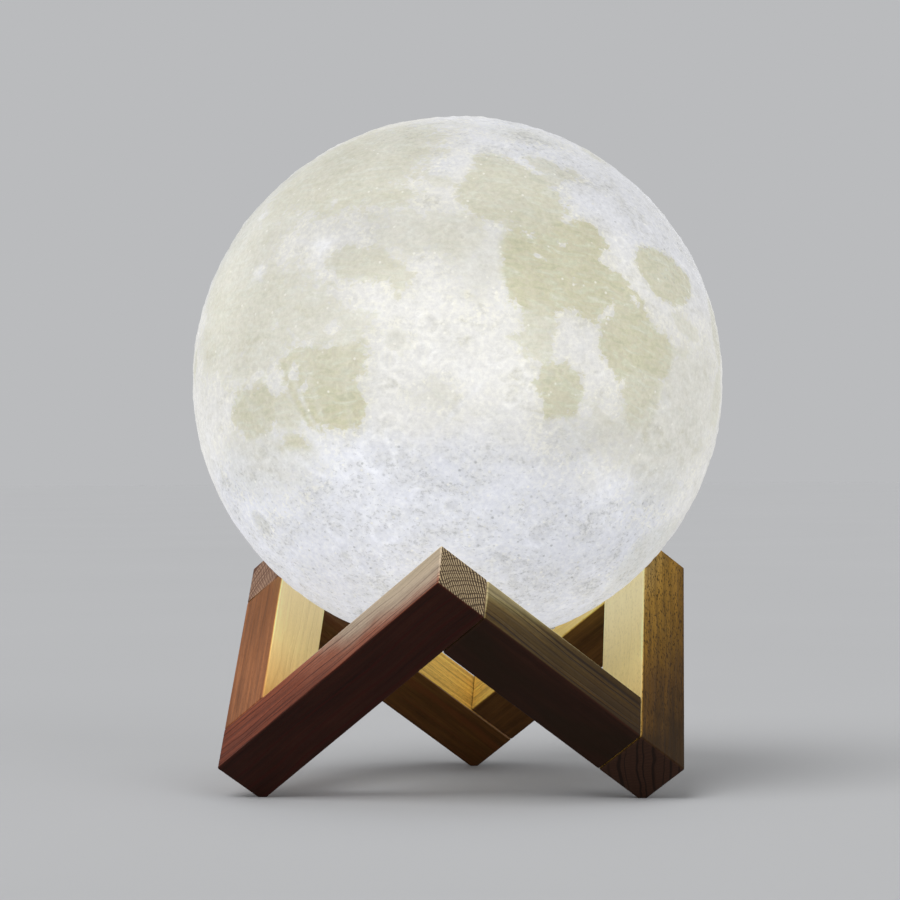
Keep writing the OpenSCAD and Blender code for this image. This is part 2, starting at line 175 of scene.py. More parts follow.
# the mesh's quads along each of the sphere's six sides; how deep the seas lie, and how high the ground's
# swells and its grit stand; how many degrees the shores wander; how far apart the layer lines are; and how
# far the ground may lie below and above the plain sphere: hardly above it where the rails carry it, and
# more on top
globe = {"perFace": 220, "innerPerFace": 36, "seaDepth": 0.16 * mm, "roughness": 0.24 * mm,
         "ragged": 0.2 * mm, "shoreWander": 1.3, "layer": 0.95 * mm,
         "lowest": -0.8 * mm, "resting": 0.1 * mm, "onTop": 0.55 * mm}

# a crater: its rim's width in radii and its height in depths, how deep its bowl goes before it is flat, its
# depth for each degree of radius, the greatest depth, and how many radii it reaches
craterForm = {"rimWidth": 0.2, "rimHeight": 0.42, "flat": -0.72, "depth": 0.13 * mm, "deepest": 0.26 * mm,
              "reach": 2.3}

# the seas of the near side: how dark each is, how soft its shore in degrees, and the shore (east, north)
seas = [
    (0.70, 0.8, [(10, 38.2), (13, 39.2), (17, 38.8), (20, 37.2), (24, 36.5), (27.5, 34), (29.5, 31),
                 (31.5, 28), (31, 25), (30, 21), (29, 17.5), (24, 16.5), (20.5, 17.8), (16, 19.3),
                 (12.5, 20.5), (9, 21.5), (6.3, 24), (6.6, 27), (8.5, 29.5), (9.5, 33)]),
    (0.88, 1.5, [(24, 32), (28, 31.5), (31.5, 28), (31, 24), (29, 20.5), (22, 19), (13, 20.2), (9, 21.7),
                 (12, 23.5), (18, 22.5), (24, 24)]),
    (0.60, 0.9, [(23, 40.5), (27, 41.5), (30, 41), (34, 39.5), (38, 40), (39.5, 37.5), (36, 36), (33, 34.2),
                 (31, 32.5), (28.5, 33), (27, 36), (24, 38)]),
    (1.00, 0.7, [(20, 18.5), (18.3, 15.5), (17.3, 11.5), (18, 8), (19.3, 5.5), (19.8, 2.5), (22, 1),
                 (24.5, -0.3), (27, -1), (29.5, -1), (30.5, 1.2), (33, 2.7), (36, 2.2), (39, 1.6),
                 (40.5, 4), (43, 5.5), (44, 8.5), (46, 11.3), (43, 13.2), (40.8, 14.5), (40.5, 17.5),
                 (41, 20), (38.8, 22.8), (36, 23.3), (32, 21.5), (30, 22.5), (25, 21.5)]),
    (0.62, 1.0, [(24, 2.5), (23.5, -3), (22.5, -6), (25.5, -8.5), (28.5, -9.5), (30.5, -8), (29.8, -3),
                 (30, 2.5)]),
    (0.95, 0.7, [(41.5, 8), (44, 11), (47, 10), (50, 8.3), (53, 5.5), (56, 3.8), (60, 3), (61.5, 0.5),
                 (61, -3), (60, -6), (56.5, -7), (50, -8), (46, -9), (43, -7), (40.8, -4), (41.3, -1),
                 (42.3, 2.5), (43.5, 5)]),
    (0.78, 1.2, [(48, -4), (58, -4), (59, -11), (58.5, -15), (57.5, -18), (53, -18.5), (50, -16),
                 (48.5, -12)]),
    (0.88, 0.6, [(51, 20), (54, 22.3), (58, 23.3), (63, 23.3), (67, 22.6), (70.5, 21), (69.8, 18),
                 (67, 15.3), (64, 12.8), (61, 11), (57.5, 10.8), (53.5, 12.8), (51, 16)]),
    (0.92, 0.7, [(30, -9.8), (33.5, -8.8), (37, -11), (38.3, -14), (38.8, -18), (36.5, -19.8), (32, -19.8),
                 (30.5, -17.5), (28.3, -14.5), (28.5, -11.5)]),
    (0.58, 1.2, [(-0.5, 18.5), (4.5, 18.2), (8, 16), (10, 13), (9.3, 10), (6.5, 10.8), (3.5, 12.3),
                 (0.5, 14.5)]),
    (0.42, 1.8, [(-12, 18.5), (0, 19.5), (8, 20), (13, 17), (14, 12), (8, 9), (2, 12), (-2, 9), (-8, 12)]),
    (0.52, 0.8, [(-6.3, 15.3), (-3, 16), (-2.4, 13.8), (-4.5, 12.2), (-6.5, 13)]),
    (0.64, 1.0, [(-18, 9.5), (-14, 10), (-11, 9), (-9.5, 11), (-6.5, 10.5), (-5, 8), (-2, 7), (1, 5),
                 (0, 2.5), (-2.5, 0.5), (-5.5, 3), (-9, 4), (-12, 2.5), (-16, 4), (-18.5, 7)]),
    (0.60, 3.0, [(-5, 22), (-4, 24.5), (-8, 27.5), (-3, 31), (-4, 35), (-0.5, 40), (-3, 45), (-3, 49),
                 (-9, 51), (-15, 52.5), (-22, 54), (-30, 53), (-38, 49), (-44, 43), (-48, 36), (-50, 28),
                 (-46, 23), (-38, 21.5), (-30, 21), (-22, 20.8), (-13, 21.2)]),
    (0.70, 1.4, [(-4.5, 23), (-6, 25.5), (-12, 26), (-22, 25), (-30, 24), (-30, 21.2), (-20, 21),
                 (-9, 22)]),
    (0.46, 2.6, [(-30, 20), (-36, 12), (-34, 8.8), (-28, 7.5), (-24, 4), (-18, 2), (-15, -2), (-9, -6),
                 (-9, -11), (-18, -10.5), (-25, -9), (-30, -12), (-38, -16), (-45, -14), (-52, -11),
                 (-58, -11), (-61, -4), (-61, 4), (-65, 12), (-66, 22), (-60, 34), (-50, 44), (-45, 40),
                 (-50, 28), (-44, 22)]),
    (0.62, 2.0, [(-58, 6), (-48, 8), (-38, 7.5), (-30, 6), (-24, 2), (-18, -2), (-24, -7), (-34, -9),
                 (-46, -9), (-57, -8)]),
    (0.84, 1.1, [(-9, -9), (-7, -13), (-9, -17), (-6.5, -21), (-28, -24), (-29, -20), (-27.5, -17.5),
                 (-29, -13), (-25, -9.5), (-18, -10)]),
    (1.00, 0.8, [(-8, -18), (-6.5, -21), (-7.3, -25), (-11, -27), (-16, -26.8), (-21, -26.2), (-24, -24),
                 (-26, -21), (-22, -18.5), (-15, -17.5)]),
    (0.62, 0.6, [(-24, -23), (-28, -21), (-31, -22), (-30.5, -25.5), (-28, -26.5), (-25, -25)]),
    (0.80, 0.8, [(-45.5, -19.5), (-43, -16.8), (-39, -17.3), (-34, -17), (-31, -19), (-32, -24),
                 (-34.5, -27), (-39.5, -28), (-44, -27.3), (-46.5, -24.3), (-46.8, -21.5)]),
    (0.95, 0.9, [(-34, -29.6), (-32, -28), (-28, -28), (-25, -28.5), (-24, -30.5), (-29, -32),
                 (-33, -32.3)]),
    (0.26, 3.0, [(-48, -27), (-36, -26), (-24, -28), (-22, -33), (-32, -38), (-46, -40), (-56, -34),
                 (-56, -28)]),
    (0.30, 2.2, [(-30, 57), (-12, 55.5), (-3, 56), (10, 55), (14, 57.5), (24, 57.5), (34, 58), (38, 54),
                 (33, 51), (24, 50.5), (14, 51.5), (6, 53.5), (-6, 53.8), (-20, 55)]),
    (0.50, 0.8, [(-12, 53.2), (-9.5, 54.5), (-7.5, 53.8), (-8, 52.4), (-10.5, 52)]),
    (0.40, 1.0, [(-1, 29.5), (2, 30.2), (4.5, 28.5), (3, 27), (0, 27.3)]),
    (0.60, 0.8, [(59, 3), (63, 1.8), (67, 2.8), (66.5, 0.5), (63, -0.3), (60, -1.5)]),
    (0.45, 0.9, [(60, 9), (66, 9.5), (72, 8), (71, 5), (66, 6), (62, 6.8)]),
    (0.40, 0.9, [(42, -15), (45, -16.5), (50, -17), (50, -20), (45, -20), (42, -18.5)]),
    (0.30, 3.5, [(57, 1), (78, 6), (84, -10), (78, -28), (64, -30), (52, -21), (42, -25), (36, -22),
                 (50, -15), (60, -10)]),
    (0.22, 3.5, [(12, 14), (18, 16), (18, 6), (14, 2), (10, 6)]),
]

# round ones there, and those of the limbs and the far side: east, north, half width, half height, darkness
roundSeas = [
    (-1.8, -9.3, 2.4, 2.4, 0.3), (-68.6, -5.2, 2.6, 3, 0.6), (56.5, 53.6, 2, 2, 0.5),
    (-55, -44.4, 2.6, 2.6, 0.3), (86, 13, 4, 6, 0.5), (87, -2, 4, 6, 0.5), (81, 57, 5, 4, 0.4),
    (93, -39, 11, 10, 0.3), (148, 27, 5, 4, 0.8), (163, -34, 4, 4, 0.6), (129, -20, 2.6, 2.6, 0.9),
    (-152, -36, 6, 6, 0.4), (-168, -54, 20, 16, 0.24), (-93, -19, 4.5, 4.5, 0.6), (8, -19, 2.6, 2.2, 0.3),
    (4, -20.5, 2, 1.4, 0.25),
]

# bright ground that stands up out of the seas: east, north, half width, half height, tilt
islands = [
    (-20, 11.5, 2.6, 2.4, 0), (-38, 8, 2.2, 1.8, 0), (-47.5, 24, 2.4, 2, 0), (-16, -7, 2.6, 2.2, 30),
    (-31, -5, 1.6, 2, 0), (-25, -15, 1.4, 2.6, -30), (-23, -19, 1.2, 2.4, -35), (-36, -15, 3, 1.4, 10),
    (-41, -9.5, 1.4, 1.2, 0), (23, 17.3, 2, 0.8, 0), (15.5, 18, 2.6, 1, 25), (-22, 23, 0.8, 0.8, 0),
    (-14, 29.5, 1.6, 0.8, 0), (31.5, 16.4, 0.4, 0.4, 0), (44, -9, 1.2, 1.2, 0), (26, 12.3, 0.9, 0.6, 0),
    (49, 8.5, 1.2, 0.8, 0), (53, 8, 1, 1, 0), (34, 8.5, 0.5, 0.8, 0),
]

# how the ground's brightness drifts, over broad patches: east, north, half width, half height, change
drifts = [
    (6, -5, 22, 12, 0.15), (52, 44, 26, 20, -0.09), (5, 52, 28, 10, -0.10), (76, 8, 9, 22, -0.05),
    (66, -14, 13, 14, -0.06), (52, -18, 12, 6, -0.03), (66, -42, 14, 14, -0.06), (40, -26, 16, 8, -0.05),
    (0, -52, 60, 16, 0.05), (54, -31, 8, 5, 0.08), (-10, -33, 10, 6, 0.07), (-55, -25, 10, 6, 0.05),
    (-60, 10, 12, 30, 0.00), (-4, 24, 5, 4, 0.02), (46, 14, 3, 6, 0.04), (-21.5, 11.8, 2.4, 2.0, 0.13),
    (30, -45, 14, 10, 0.01), (140, 0, 40, 40, -0.02), (-150, 20, 40, 30, 0.03), (-8, 14, 18, 7, -0.07),
    (-16, 7, 9, 7, -0.07), (12, 8, 5, 6, -0.06), (-20, 17, 12, 5, -0.06), (14, -33, 10, 6, -0.06),
    (24, -14, 6, 8, 0.06), (46, -14, 5, 5, 0.05), (-52, 4, 16, 14, 0.03), (62, 27, 8, 6, -0.02),
    (19, 28, 9, 7, 0.04), (50, -4, 7, 8, 0.05), (34, -14, 5, 6, 0.05), (0, -23, 18, 8, 0.04),
    (-54, 8, 12, 16, 0.04), (-17, -22, 9, 5, -0.015), (0, 60, 30, 12, 0.05), (-20, 38, 18, 10, -0.04),
    (44, -50, 18, 10, -0.05), (-15, -38, 9, 6, 0.03),
]

# craters with rays: east, north, reach in degrees, strength, number of rays
rayed = [
    (-11, -43, 42, 0.8, 23), (54, -31, 20, 0.9, 13), (61, -36, 14, 0.5, 7), (-21.5, 11.8, 13, 0.75, 13),
    (-38, 8.1, 8, 0.45, 9), (-47.5, 23.7, 8, 0.6, 8), (46, 16, 7, 0.5, 5), (-10, 73, 26, 0.6, 9),
    (16, 16.3, 5, 0.5, 5), (61, -9, 9, 0.35, 7), (-64, -24.5, 14, 0.5, 7), (104, 22, 30, 0.7, 9),
    (168, -42, 16, 0.5, 8), (-129, 4, 18, 0.6, 9), (-154, 36, 22, 0.6, 9),
]

# the brightest single rays: east, north, the way they run (degrees from east towards north), length in
# degrees
longRays = [
    (-11, -43, 119, 38), (-11, -43, 125, 40), (-11, -43, 148, 30), (-11, -43, 40, 44), (54, -31, 152, 24),
]

# the larger craters that show from a step away: east, north, radius in degrees
largeCraters = [
    (-11, -43, 1.5), (-20, 9.6, 1.6), (-14.4, -58.4, 3.7), (-1.8, -9.3, 2.5), (-3, -13.4, 1.9),
    (-2, -18, 1.6), (17.4, 50.2, 1.4), (16.3, 44.3, 1.1), (30, 31.8, 1.6), (26.4, -11.4, 1.7),
    (24, -13.2, 1.6), (23.6, -18, 1.7), (61, -8.9, 2.2), (60.4, -25.3, 2.9), (61.6, -16.3, 2.4),
    (60.4, -36.3, 2.1), (54.2, -32.5, 1.2), (32.2, -29.7, 1.5), (14, -41.8, 1.9), (6, -41.1, 2.1),
    (1, -33.1, 2.1), (-2.3, -25.5, 1.9), (-1, -28.3, 1.9), (-5.5, -32.5, 3.8), (-55, -44.4, 3.7),
    (-21.8, -49.6, 2.4), (-6.2, -50.1, 2.7), (-40, -17.5, 1.8), (-68.6, -5.2, 2.9), (-67, 2.2, 1.7),
    (-47.5, 23.7, 0.8), (-38, 8.1, 0.7), (-4, 29.7, 1.4), (1.2, 33.9, 0.9), (-11.3, 14.5, 1.0),
    (9.1, 14.5, 0.8), (23.7, 15.4, 0.8), (46.8, 16.1, 0.7), (55.5, 27.7, 2.1), (46, 21.3, 1.2),
    (44.4, 46.7, 1.4), (39.1, 46.7, 1.1), (56.5, 53.6, 2.1), (-22.2, -20.7, 1.1), (4.8, -5.5, 2.4),
    (4.1, -11.3, 2.2), (42, -45, 3.2), (33, -21.5, 2.0), (3.3, -28, 1.2), (5.2, -30.6, 1.3),
    (-9.3, 51.6, 1.7), (129, -20, 3.1), (-152, -36, 8.5), (148, 27, 4.5), (-93, -19, 5.5), (-93, -19, 10.5),
    (104, 22, 1.2), (173, -33, 4.8), (-129, 4, 1.9), (176, -6, 5.2), (-158, 5, 7.0), (-176, 33, 3.2),
    (140, 10, 4.6), (165, 18, 3.4), (-140, 28, 4.8), (-120, 46, 6.2), (172, 48, 4.4), (135, -44, 5.0),
    (-172, -20, 4.4), (-143, -10, 6.4), (-110, -36, 4.0), (115, 6, 4.2), (120, 38, 3.4), (150, -14, 3.0),
    (-100, 8, 5.4), (-165, 60, 4.4), (100, -14, 4.6), (-67, -29, 2.2), (-46, -52, 1.8), (70, -30, 2.6),
    (20, -50, 1.8), (35, -41, 1.6),
]


# the small ones, drawn by chance: least and greatest radius in degrees, and how many
smallCraters = [(1.3, 2.4, 110), (0.8, 1.3, 700), (0.5, 0.8, 2600)]


def moonPoint(east, north):
    east, north = math.radians(east), math.radians(north)
    return np.array([math.cos(north) * math.cos(east), math.cos(north) * math.sin(east), math.sin(north)])


def localDegrees(points, east, north):
    # how far each point lies east and north of a place, in degrees of arc
    centre = moonPoint(east, north)
    eastward = np.array([-math.sin(math.radians(east)), math.cos(math.radians(east)), 0.0])
    northward = np.cross(centre, eastward)
    cosine = np.clip(points @ centre, -1, 1)
    arc = np.degrees(np.arccos(cosine))
    flat = np.maximum(np.sqrt(1 - cosine ** 2), 1e-9)
    return arc * (points @ eastward) / flat, arc * (points @ northward) / flat


def oval(points, east, north, halfWidth, halfHeight, tilt):
    # degrees inside an oval's edge, less than zero outside
    x, y = localDegrees(points, east, north)
    c, s = math.cos(math.radians(tilt)), math.sin(math.radians(tilt))
    across, along = x * c + y * s, y * c - x * s
    return (1 - np.hypot(across / halfWidth, along / halfHeight)) * min(halfWidth, halfHeight)


def insideShore(points, outline):
    # degrees inside a drawn shore, less than zero outside, for the points within reach of it
    middle = np.mean([moonPoint(east, north) for east, north in outline], axis=0)
    middle /= np.linalg.norm(middle)
    east, north = math.degrees(math.atan2(middle[1], middle[0])), math.degrees(math.asin(middle[2]))
    corners = np.array([moonPoint(*corner) for corner in outline])
    shoreX, shoreY = localDegrees(corners, east, north)
    reach = np.hypot(shoreX, shoreY).max() + 9
    near = np.nonzero(points @ middle > math.cos(math.radians(reach)))[0]
    x, y = localDegrees(points[near], east, north)
    closest = np.full(len(near), 1e9)
    crossed = np.zeros(len(near), bool)
    for x0, y0, x1, y1 in zip(shoreX, shoreY, np.roll(shoreX, -1), np.roll(shoreY, -1)):
        dx, dy = x1 - x0, y1 - y0
        t = np.clip(((x - x0) * dx + (y - y0) * dy) / (dx * dx + dy * dy), 0, 1)
        closest = np.minimum(closest, (x - x0 - t * dx) ** 2 + (y - y0 - t * dy) ** 2)
        crossed ^= ((y0 > y) != (y1 > y)) & (x < (y - y0) * dx / (dy if dy else 1e-9) + x0)
    result = np.full(len(points), -9.0)
    result[near] = np.where(crossed, 1, -1) * np.sqrt(closest)
    return result


def cloudNoise(points, scale, octaves, shift):
    offset = Vector((shift, 2 * shift, -shift))
    return np.array([noise.fractal(Vector(p) * scale + offset, 0.9, 2.0, octaves) for p in points])


def smoothStep(low, high, value):
    t = np.clip((value - low) / (high - low), 0, 1)
    return t * t * (3 - 2 * t)


def quadSphere(perFace):
    # six square grids blown up to a unit sphere, with their spacing evened out
    steps = np.tan(np.linspace(-1, 1, perFace + 1) * math.pi / 4)
    u, v = np.meshgrid(steps, steps, indexing="ij")
    index = np.arange((perFace + 1) ** 2).reshape(perFace + 1, perFace + 1)
    quads = np.stack([index[:-1, :-1], index[1:, :-1], index[1:, 1:], index[:-1, 1:]], -1).reshape(-1, 4)
    points, faces = [], []
    for axis in range(3):
        for side in (-1, 1):
            grid = np.zeros((u.size, 3))
            grid[:, axis] = side
            grid[:, (axis + 1) % 3] = u.ravel()
            grid[:, (axis + 2) % 3] = v.ravel()
            faces.append((quads if side > 0 else quads[:, ::-1]) + len(points) * u.size)
            points.append(grid / np.linalg.norm(grid, axis=1)[:, None])
    points, faces = np.concatenate(points), np.concatenate(faces)
    shared, back = np.unique(np.round(points, 7), axis=0, return_inverse=True)
    return shared / np.linalg.norm(shared, axis=1)[:, None], back.ravel()[faces]


def openSphere(perFace, radius, mouthRadius):
    # a sphere about the origin, in the moon's own axes, cut off level at the mouth
    points, faces = quadSphere(perFace)
    mesh = bpy.data.meshes.new("sphere")
    mesh.from_pydata((points * radius).tolist(), [], faces.tolist())
    bm = bmesh.new()
    bm.from_mesh(mesh)
    bpy.data.meshes.remove(mesh)
    down = moonTurn.transposed() @ Vector((0, 0, -1))
    cut = down * math.sqrt(radius ** 2 - mouthRadius ** 2)
    bmesh.ops.bisect_plane(bm, geom=bm.verts[:] + bm.edges[:] + bm.faces[:], dist=1e-7,
                           plane_co=cut, plane_no=down, clear_outer=True)
    return bm


def craterList():
    # the large ones as listed, then ever more small ones, evenly over the whole moon
    craters = [(moonPoint(east, north), radius, 1.0) for east, north, radius in largeCraters]
    for smallest, largest, count in smallCraters:
        for direction in random.normal(size=(count, 3)):
            centre = direction / np.linalg.norm(direction)
            freshness = random.uniform(0.2, 1.0) * (1 if centre[2] < -0.15 else 0.55)
            craters.append((centre, random.uniform(smallest, largest), freshness))
    return craters


def raisedBy(points, sea):
    # the relief in metres, and how bright each crater leaves the ground
    height = globe["roughness"] * (1 - 0.75 * sea) * cloudNoise(points, 9.0, 6, 3.1)
    height += globe["ragged"] * (1 - 0.6 * sea) * cloudNoise(points, 26.0, 4, 8.2)
    height -= globe["seaDepth"] * sea
    shade = np.zeros(len(points))
    for centre, radius, freshness in craterList():
        cosine = points @ centre
        near = np.nonzero(cosine > math.cos(math.radians(craterForm["reach"] * radius)))[0]
        x = np.degrees(np.arccos(np.clip(cosine[near], -1, 1))) / radius
        calm = 1 - 0.55 * sea[near]
        bowl = np.where(x < 1, np.maximum(x * x - 1, craterForm["flat"]), 0)
        rim = np.exp(-((x - 1) / craterForm["rimWidth"]) ** 2)
        deep = freshness * calm * min(craterForm["depth"] * radius, craterForm["deepest"])
        height[near] += deep * (bowl + craterForm["rimHeight"] * rim)
        shade[near] += freshness * (0.55 * rim - 0.35 * (x < 0.75)) * (0.6 + 0.1 * sea[near])
    return height, shade


def seaMap(points):
    # how far inside a sea's shore each point lies, in widths of that shore, and how dark the sea is
    wander = globe["shoreWander"] * cloudNoise(points, 7.0, 6, 0.0)
    shore = np.full(len(points), -9.0)
    weight = np.full(len(points), 1e-6)
    darkness = np.zeros(len(points))
    reaches = [(dark, (insideShore(points, outline) + wander) / soft) for dark, soft, outline in seas]
    reaches += [(dark, oval(points, *place, 0) + wander) for *place, dark in roundSeas]
    for dark, inside in reaches:
        pull = np.exp(2 * np.clip(inside, -8, 1.2)) * (0.4 + dark)
        shore = np.maximum(shore, inside)
        darkness += dark * pull
        weight += pull
    for island in islands:
        shore = np.minimum(shore, 0.4 - 1.4 * oval(points, *island) - wander)
    return np.clip(shore, -4, 4), np.clip(darkness / weight, 0, 1)


def driftMap(points):
    level = 1 + 0.06 * cloudNoise(points, 2.6, 4, 9.0)
    for east, north, width, height, change in drifts:
        x, y = localDegrees(points, east, north)
        level += change * np.exp(-0.7 * ((x / width) ** 2 + (y / height) ** 2))
    return level


def rayMap(points):
    bright = np.zeros(len(points))
    for east, north, reach, strength, count in rayed:
        x, y = localDegrees(points, east, north)
        arc, bearing = np.hypot(x, y), np.arctan2(y, x)
        bright += strength * 0.8 * np.exp(-(arc / (0.16 * reach + 1)) ** 2)
        for k in range(count):
            heading = 2 * math.pi * (k + random.uniform(-0.35, 0.35)) / count
            length = reach * random.uniform(0.4, 1.3)
            aside = arc * np.sin(bearing - heading)
            ahead = arc * np.cos(bearing - heading)
            width = 0.3 + 0.03 * arc
            bright += strength * 0.5 * (ahead > 0) * np.exp(-(aside / width) ** 2 - (ahead / length) ** 2)
    for east, north, way, length in longRays:
        x, y = localDegrees(points, east, north)
        c, s = math.cos(math.radians(way)), math.sin(math.radians(way))
        ahead, aside = x * c + y * s, y * c - x * s
        bright += 0.8 * (ahead > 0) * np.exp(-(aside / 0.6) ** 2) * smoothStep(length, 0.6 * length, ahead)
    return np.clip(bright, 0, 1)


def coldMap(points):
    # the south, the north-east and the north-west limb are a bluer white than the middle
    north = points[:, 2] + 0.13 * cloudNoise(points, 2.2, 6, 5.0) - 0.09 * points[:, 0] * (points[:,
                                                                                                  1] + 0.1)
    northEast = points @ moonPoint(60, 44) + 0.05 * cloudNoise(points, 5.0, 3, 2.0)
    top = points @ moonPoint(4, 52) + 0.05 * cloudNoise(points, 5.0, 3, 6.0)
    west = points @ moonPoint(-78, 34) + 0.04 * cloudNoise(points, 5.0, 3, 4.0)
    return np.clip(smoothStep(-0.38, -0.64, north) + 0.75 * smoothStep(0.80, 0.95, northEast)
                   + 0.6 * smoothStep(0.93, 0.99, top) + 0.7 * smoothStep(0.84, 0.98, west), 0, 1)


def closeShell(mesh):
    # the inside, and the wall of the mouth between the two
    inner = openSphere(globe["innerPerFace"], globeR - shellWall, mouthR)
    bmesh.ops.reverse_faces(inner, faces=inner.faces[:])
    inner.transform(Matrix.Translation(globeCentre) @ moonTurn.to_4x4())
    innerMesh = bpy.data.meshes.new("inside")
    inner.to_mesh(innerMesh)
    inner.free()
    bm = bmesh.new()
    bm.from_mesh(mesh)
    bm.from_mesh(innerMesh)
    rims = [edge for edge in bm.edges if len(edge.link_faces) == 1]
    bmesh.ops.bridge_loops(bm, edges=rims)
    bmesh.ops.recalc_face_normals(bm, faces=bm.faces[:])
    for face in bm.faces:
        face.smooth = True
    bm.to_mesh(mesh)
    bm.free()
    bpy.data.meshes.remove(innerMesh)


def makeGlobe():
    bm = openSphere(globe["perFace"], globeR, mouthR)
    mesh = bpy.data.meshes.new("moon_globe")
    bm.to_mesh(mesh)
    bm.free()
    places = np.empty(len(mesh.vertices) * 3)
    mesh.vertices.foreach_get("co", places)
    points = places.reshape(-1, 3)
    points /= np.linalg.norm(points, axis=1)[:, None]

    shore, darkness = seaMap(points)
    sea = darkness * smoothStep(-1, 1, shore)
    ray = rayMap(points) * (0.55 + 0.45 * cloudNoise(points, 30.0, 4, 7.7))
    height, shade = raisedBy(points, sea)

    # level at the mouth, and never proud where the rails carry the globe
    turn = np.array(moonTurn)
    upright = points @ turn.T
    fromMouth = np.degrees(np.arccos(np.clip(-upright[:, 2], -1, 1)))
    mouthAngle = math.degrees(math.asin(mouthR / globeR))
    height *= smoothStep(mouthAngle + 0.3, mouthAngle + 4, fromMouth)
    low = smoothStep(-0.35, -0.15, upright[:, 2])
    height = np.clip(height, globe["lowest"], globe["resting"] + globe["onTop"] * low)
    atMouth = fromMouth < mouthAngle + 0.25
    places = upright * (globeR + height)[:, None]
    places[atMouth] = upright[atMouth] * globeR
    mesh.vertices.foreach_set("co", (places + np.array(globeCentre)).ravel())

    for name, values in (("shore", shore), ("darkness", darkness), ("ray", ray), ("crater", shade),
                         ("cold", coldMap(points)), ("drift", driftMap(points))):
        attribute = mesh.attributes.new(name, "FLOAT", "POINT")
        attribute.data.foreach_set("value", values.astype(np.float32))
    attribute = mesh.attributes.new("moonPlace", "FLOAT_VECTOR", "POINT")
    attribute.data.foreach_set("vector", (points * globeR).astype(np.float32).ravel())

    closeShell(mesh)
    moon = bpy.data.objects.new("moon_globe", mesh)
    bpy.context.scene.collection.objects.link(moon)
    dress(moon, makeMoonPrint())
    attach(moon, "globe")
    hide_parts("moon_shell")
    print("globe:", len(mesh.vertices), "vertices")


# ramps run from dim ground to bright; glow is how strongly a tone shines, paint how much of it room light
# finds
moonColours = {
    "highland": [(0.36, "#D3D1C6"), (0.45, "#E0DFDA"), (0.53, "#E7E6E3"), (0.61, "#EAE9E7"),
                 (0.71, "#F1F1EF")],
    "cold": [(0.36, "#CFD1D3"), (0.45, "#DEDFE3"), (0.53, "#E4E6ED"), (0.61, "#E8EAF3"),
             (0.71, "#F2F4FB")],
    "sea": [(0.33, "#C5C5AA"), (0.43, "#CECCAF"), (0.50, "#D2CDB5"), (0.57, "#CFD0B6"),
            (0.68, "#DBDAC8")],
    "ray": "#F1F3FA", "shore": "#F4F1E0", "speck": "#9EA0A0", "glint": "#F8F6EC",
    "glow": 0.795, "paint": 0.20}

# how large the print's patterns are
moonPatterns = {"patches": 11 * mm, "blotches": 3.6 * mm, "grit": 1.3 * mm, "swirls": 6 * mm,
                "rings": 3.0 * mm, "specks": 1.3 * mm, "pocks": 2.0 * mm}


def addSeas(plastic, at, shore, darkness, blotches, grit, ground):
    # the shores are ragged down to a millimetre
    ragged = addNode(plastic, "Math", {0: blotches.outputs["Fac"], 1: 8.0, 2: -3.6},
                     operation="MULTIPLY_ADD")
    frayed = addNode(plastic, "Math", {0: grit.outputs["Fac"], 1: 5.0, 2: -2.4}, operation="MULTIPLY_ADD")
    fringe = addNode(plastic, "Math", {0: ragged.outputs[0], 1: frayed.outputs[0]})
    inside = addNode(plastic, "Math", {0: shore.outputs["Fac"], 1: fringe.outputs[0]})
    covered = addNode(plastic, "MapRange", {"Value": inside.outputs[0], "From Min": -0.8, "From Max": 0.8},
                      interpolation_type="SMOOTHSTEP")

    # and the ground just off them is dusted with the same dark soil
    dusted = addNode(plastic, "MapRange", {"Value": inside.outputs[0], "From Min": -4.0, "From Max": 0.5,
                                           "To Max": 0.26}, interpolation_type="SMOOTHSTEP")
    soil = addNode(plastic, "Math", {0: covered.outputs["Result"], 1: dusted.outputs["Result"]},
                   operation="MAXIMUM")
    streaky = addNode(plastic, "Mapping", {"Vector": at, "Scale": (1, 1, 3.2)})
    swirl = addNode(plastic, "TexNoise", {"Vector": streaky.outputs[0], "Scale": 1 / moonPatterns["swirls"],
                                          "Detail": 7.0, "Roughness": 0.58, "Distortion": 0.7})
    seaTone = addNode(plastic, "ValToRGB", {"Fac": swirl.outputs["Fac"]}, stops=moonColours["sea"])
    seaAmount = addNode(plastic, "Math", {0: soil.outputs[0], 1: darkness.outputs["Fac"]},
                        operation="MULTIPLY", use_clamp=True)
    withSeas = addNode(plastic, "Mix", {0: seaAmount.outputs[0], 6: ground.outputs[2],
                                        7: seaTone.outputs["Color"]}, data_type="RGBA")
    beach = addNode(plastic, "MapRange", {"Value": shore.outputs["Fac"], "From Min": -3.0,
                                          "From Max": -1.0})
    offSea = addNode(plastic, "Math", {0: 1.0, 1: covered.outputs["Result"]}, operation="SUBTRACT")
    sunlit = addNode(plastic, "MapRange", {"Value": grit.outputs["Fac"], "From Min": 0.48, "From Max": 0.60,
                                           "To Max": 0.55})
    alongShore = addNode(plastic, "Math", {0: beach.outputs["Result"], 1: offSea.outputs[0]},
                         operation="MULTIPLY")
    beachAmount = addNode(plastic, "Math", {0: alongShore.outputs[0], 1: sunlit.outputs["Result"]},
                          operation="MULTIPLY")
    return addNode(plastic, "Mix", {0: beachAmount.outputs[0], 6: withSeas.outputs[2],
                                    7: linear(moonColours["shore"])}, data_type="RGBA")


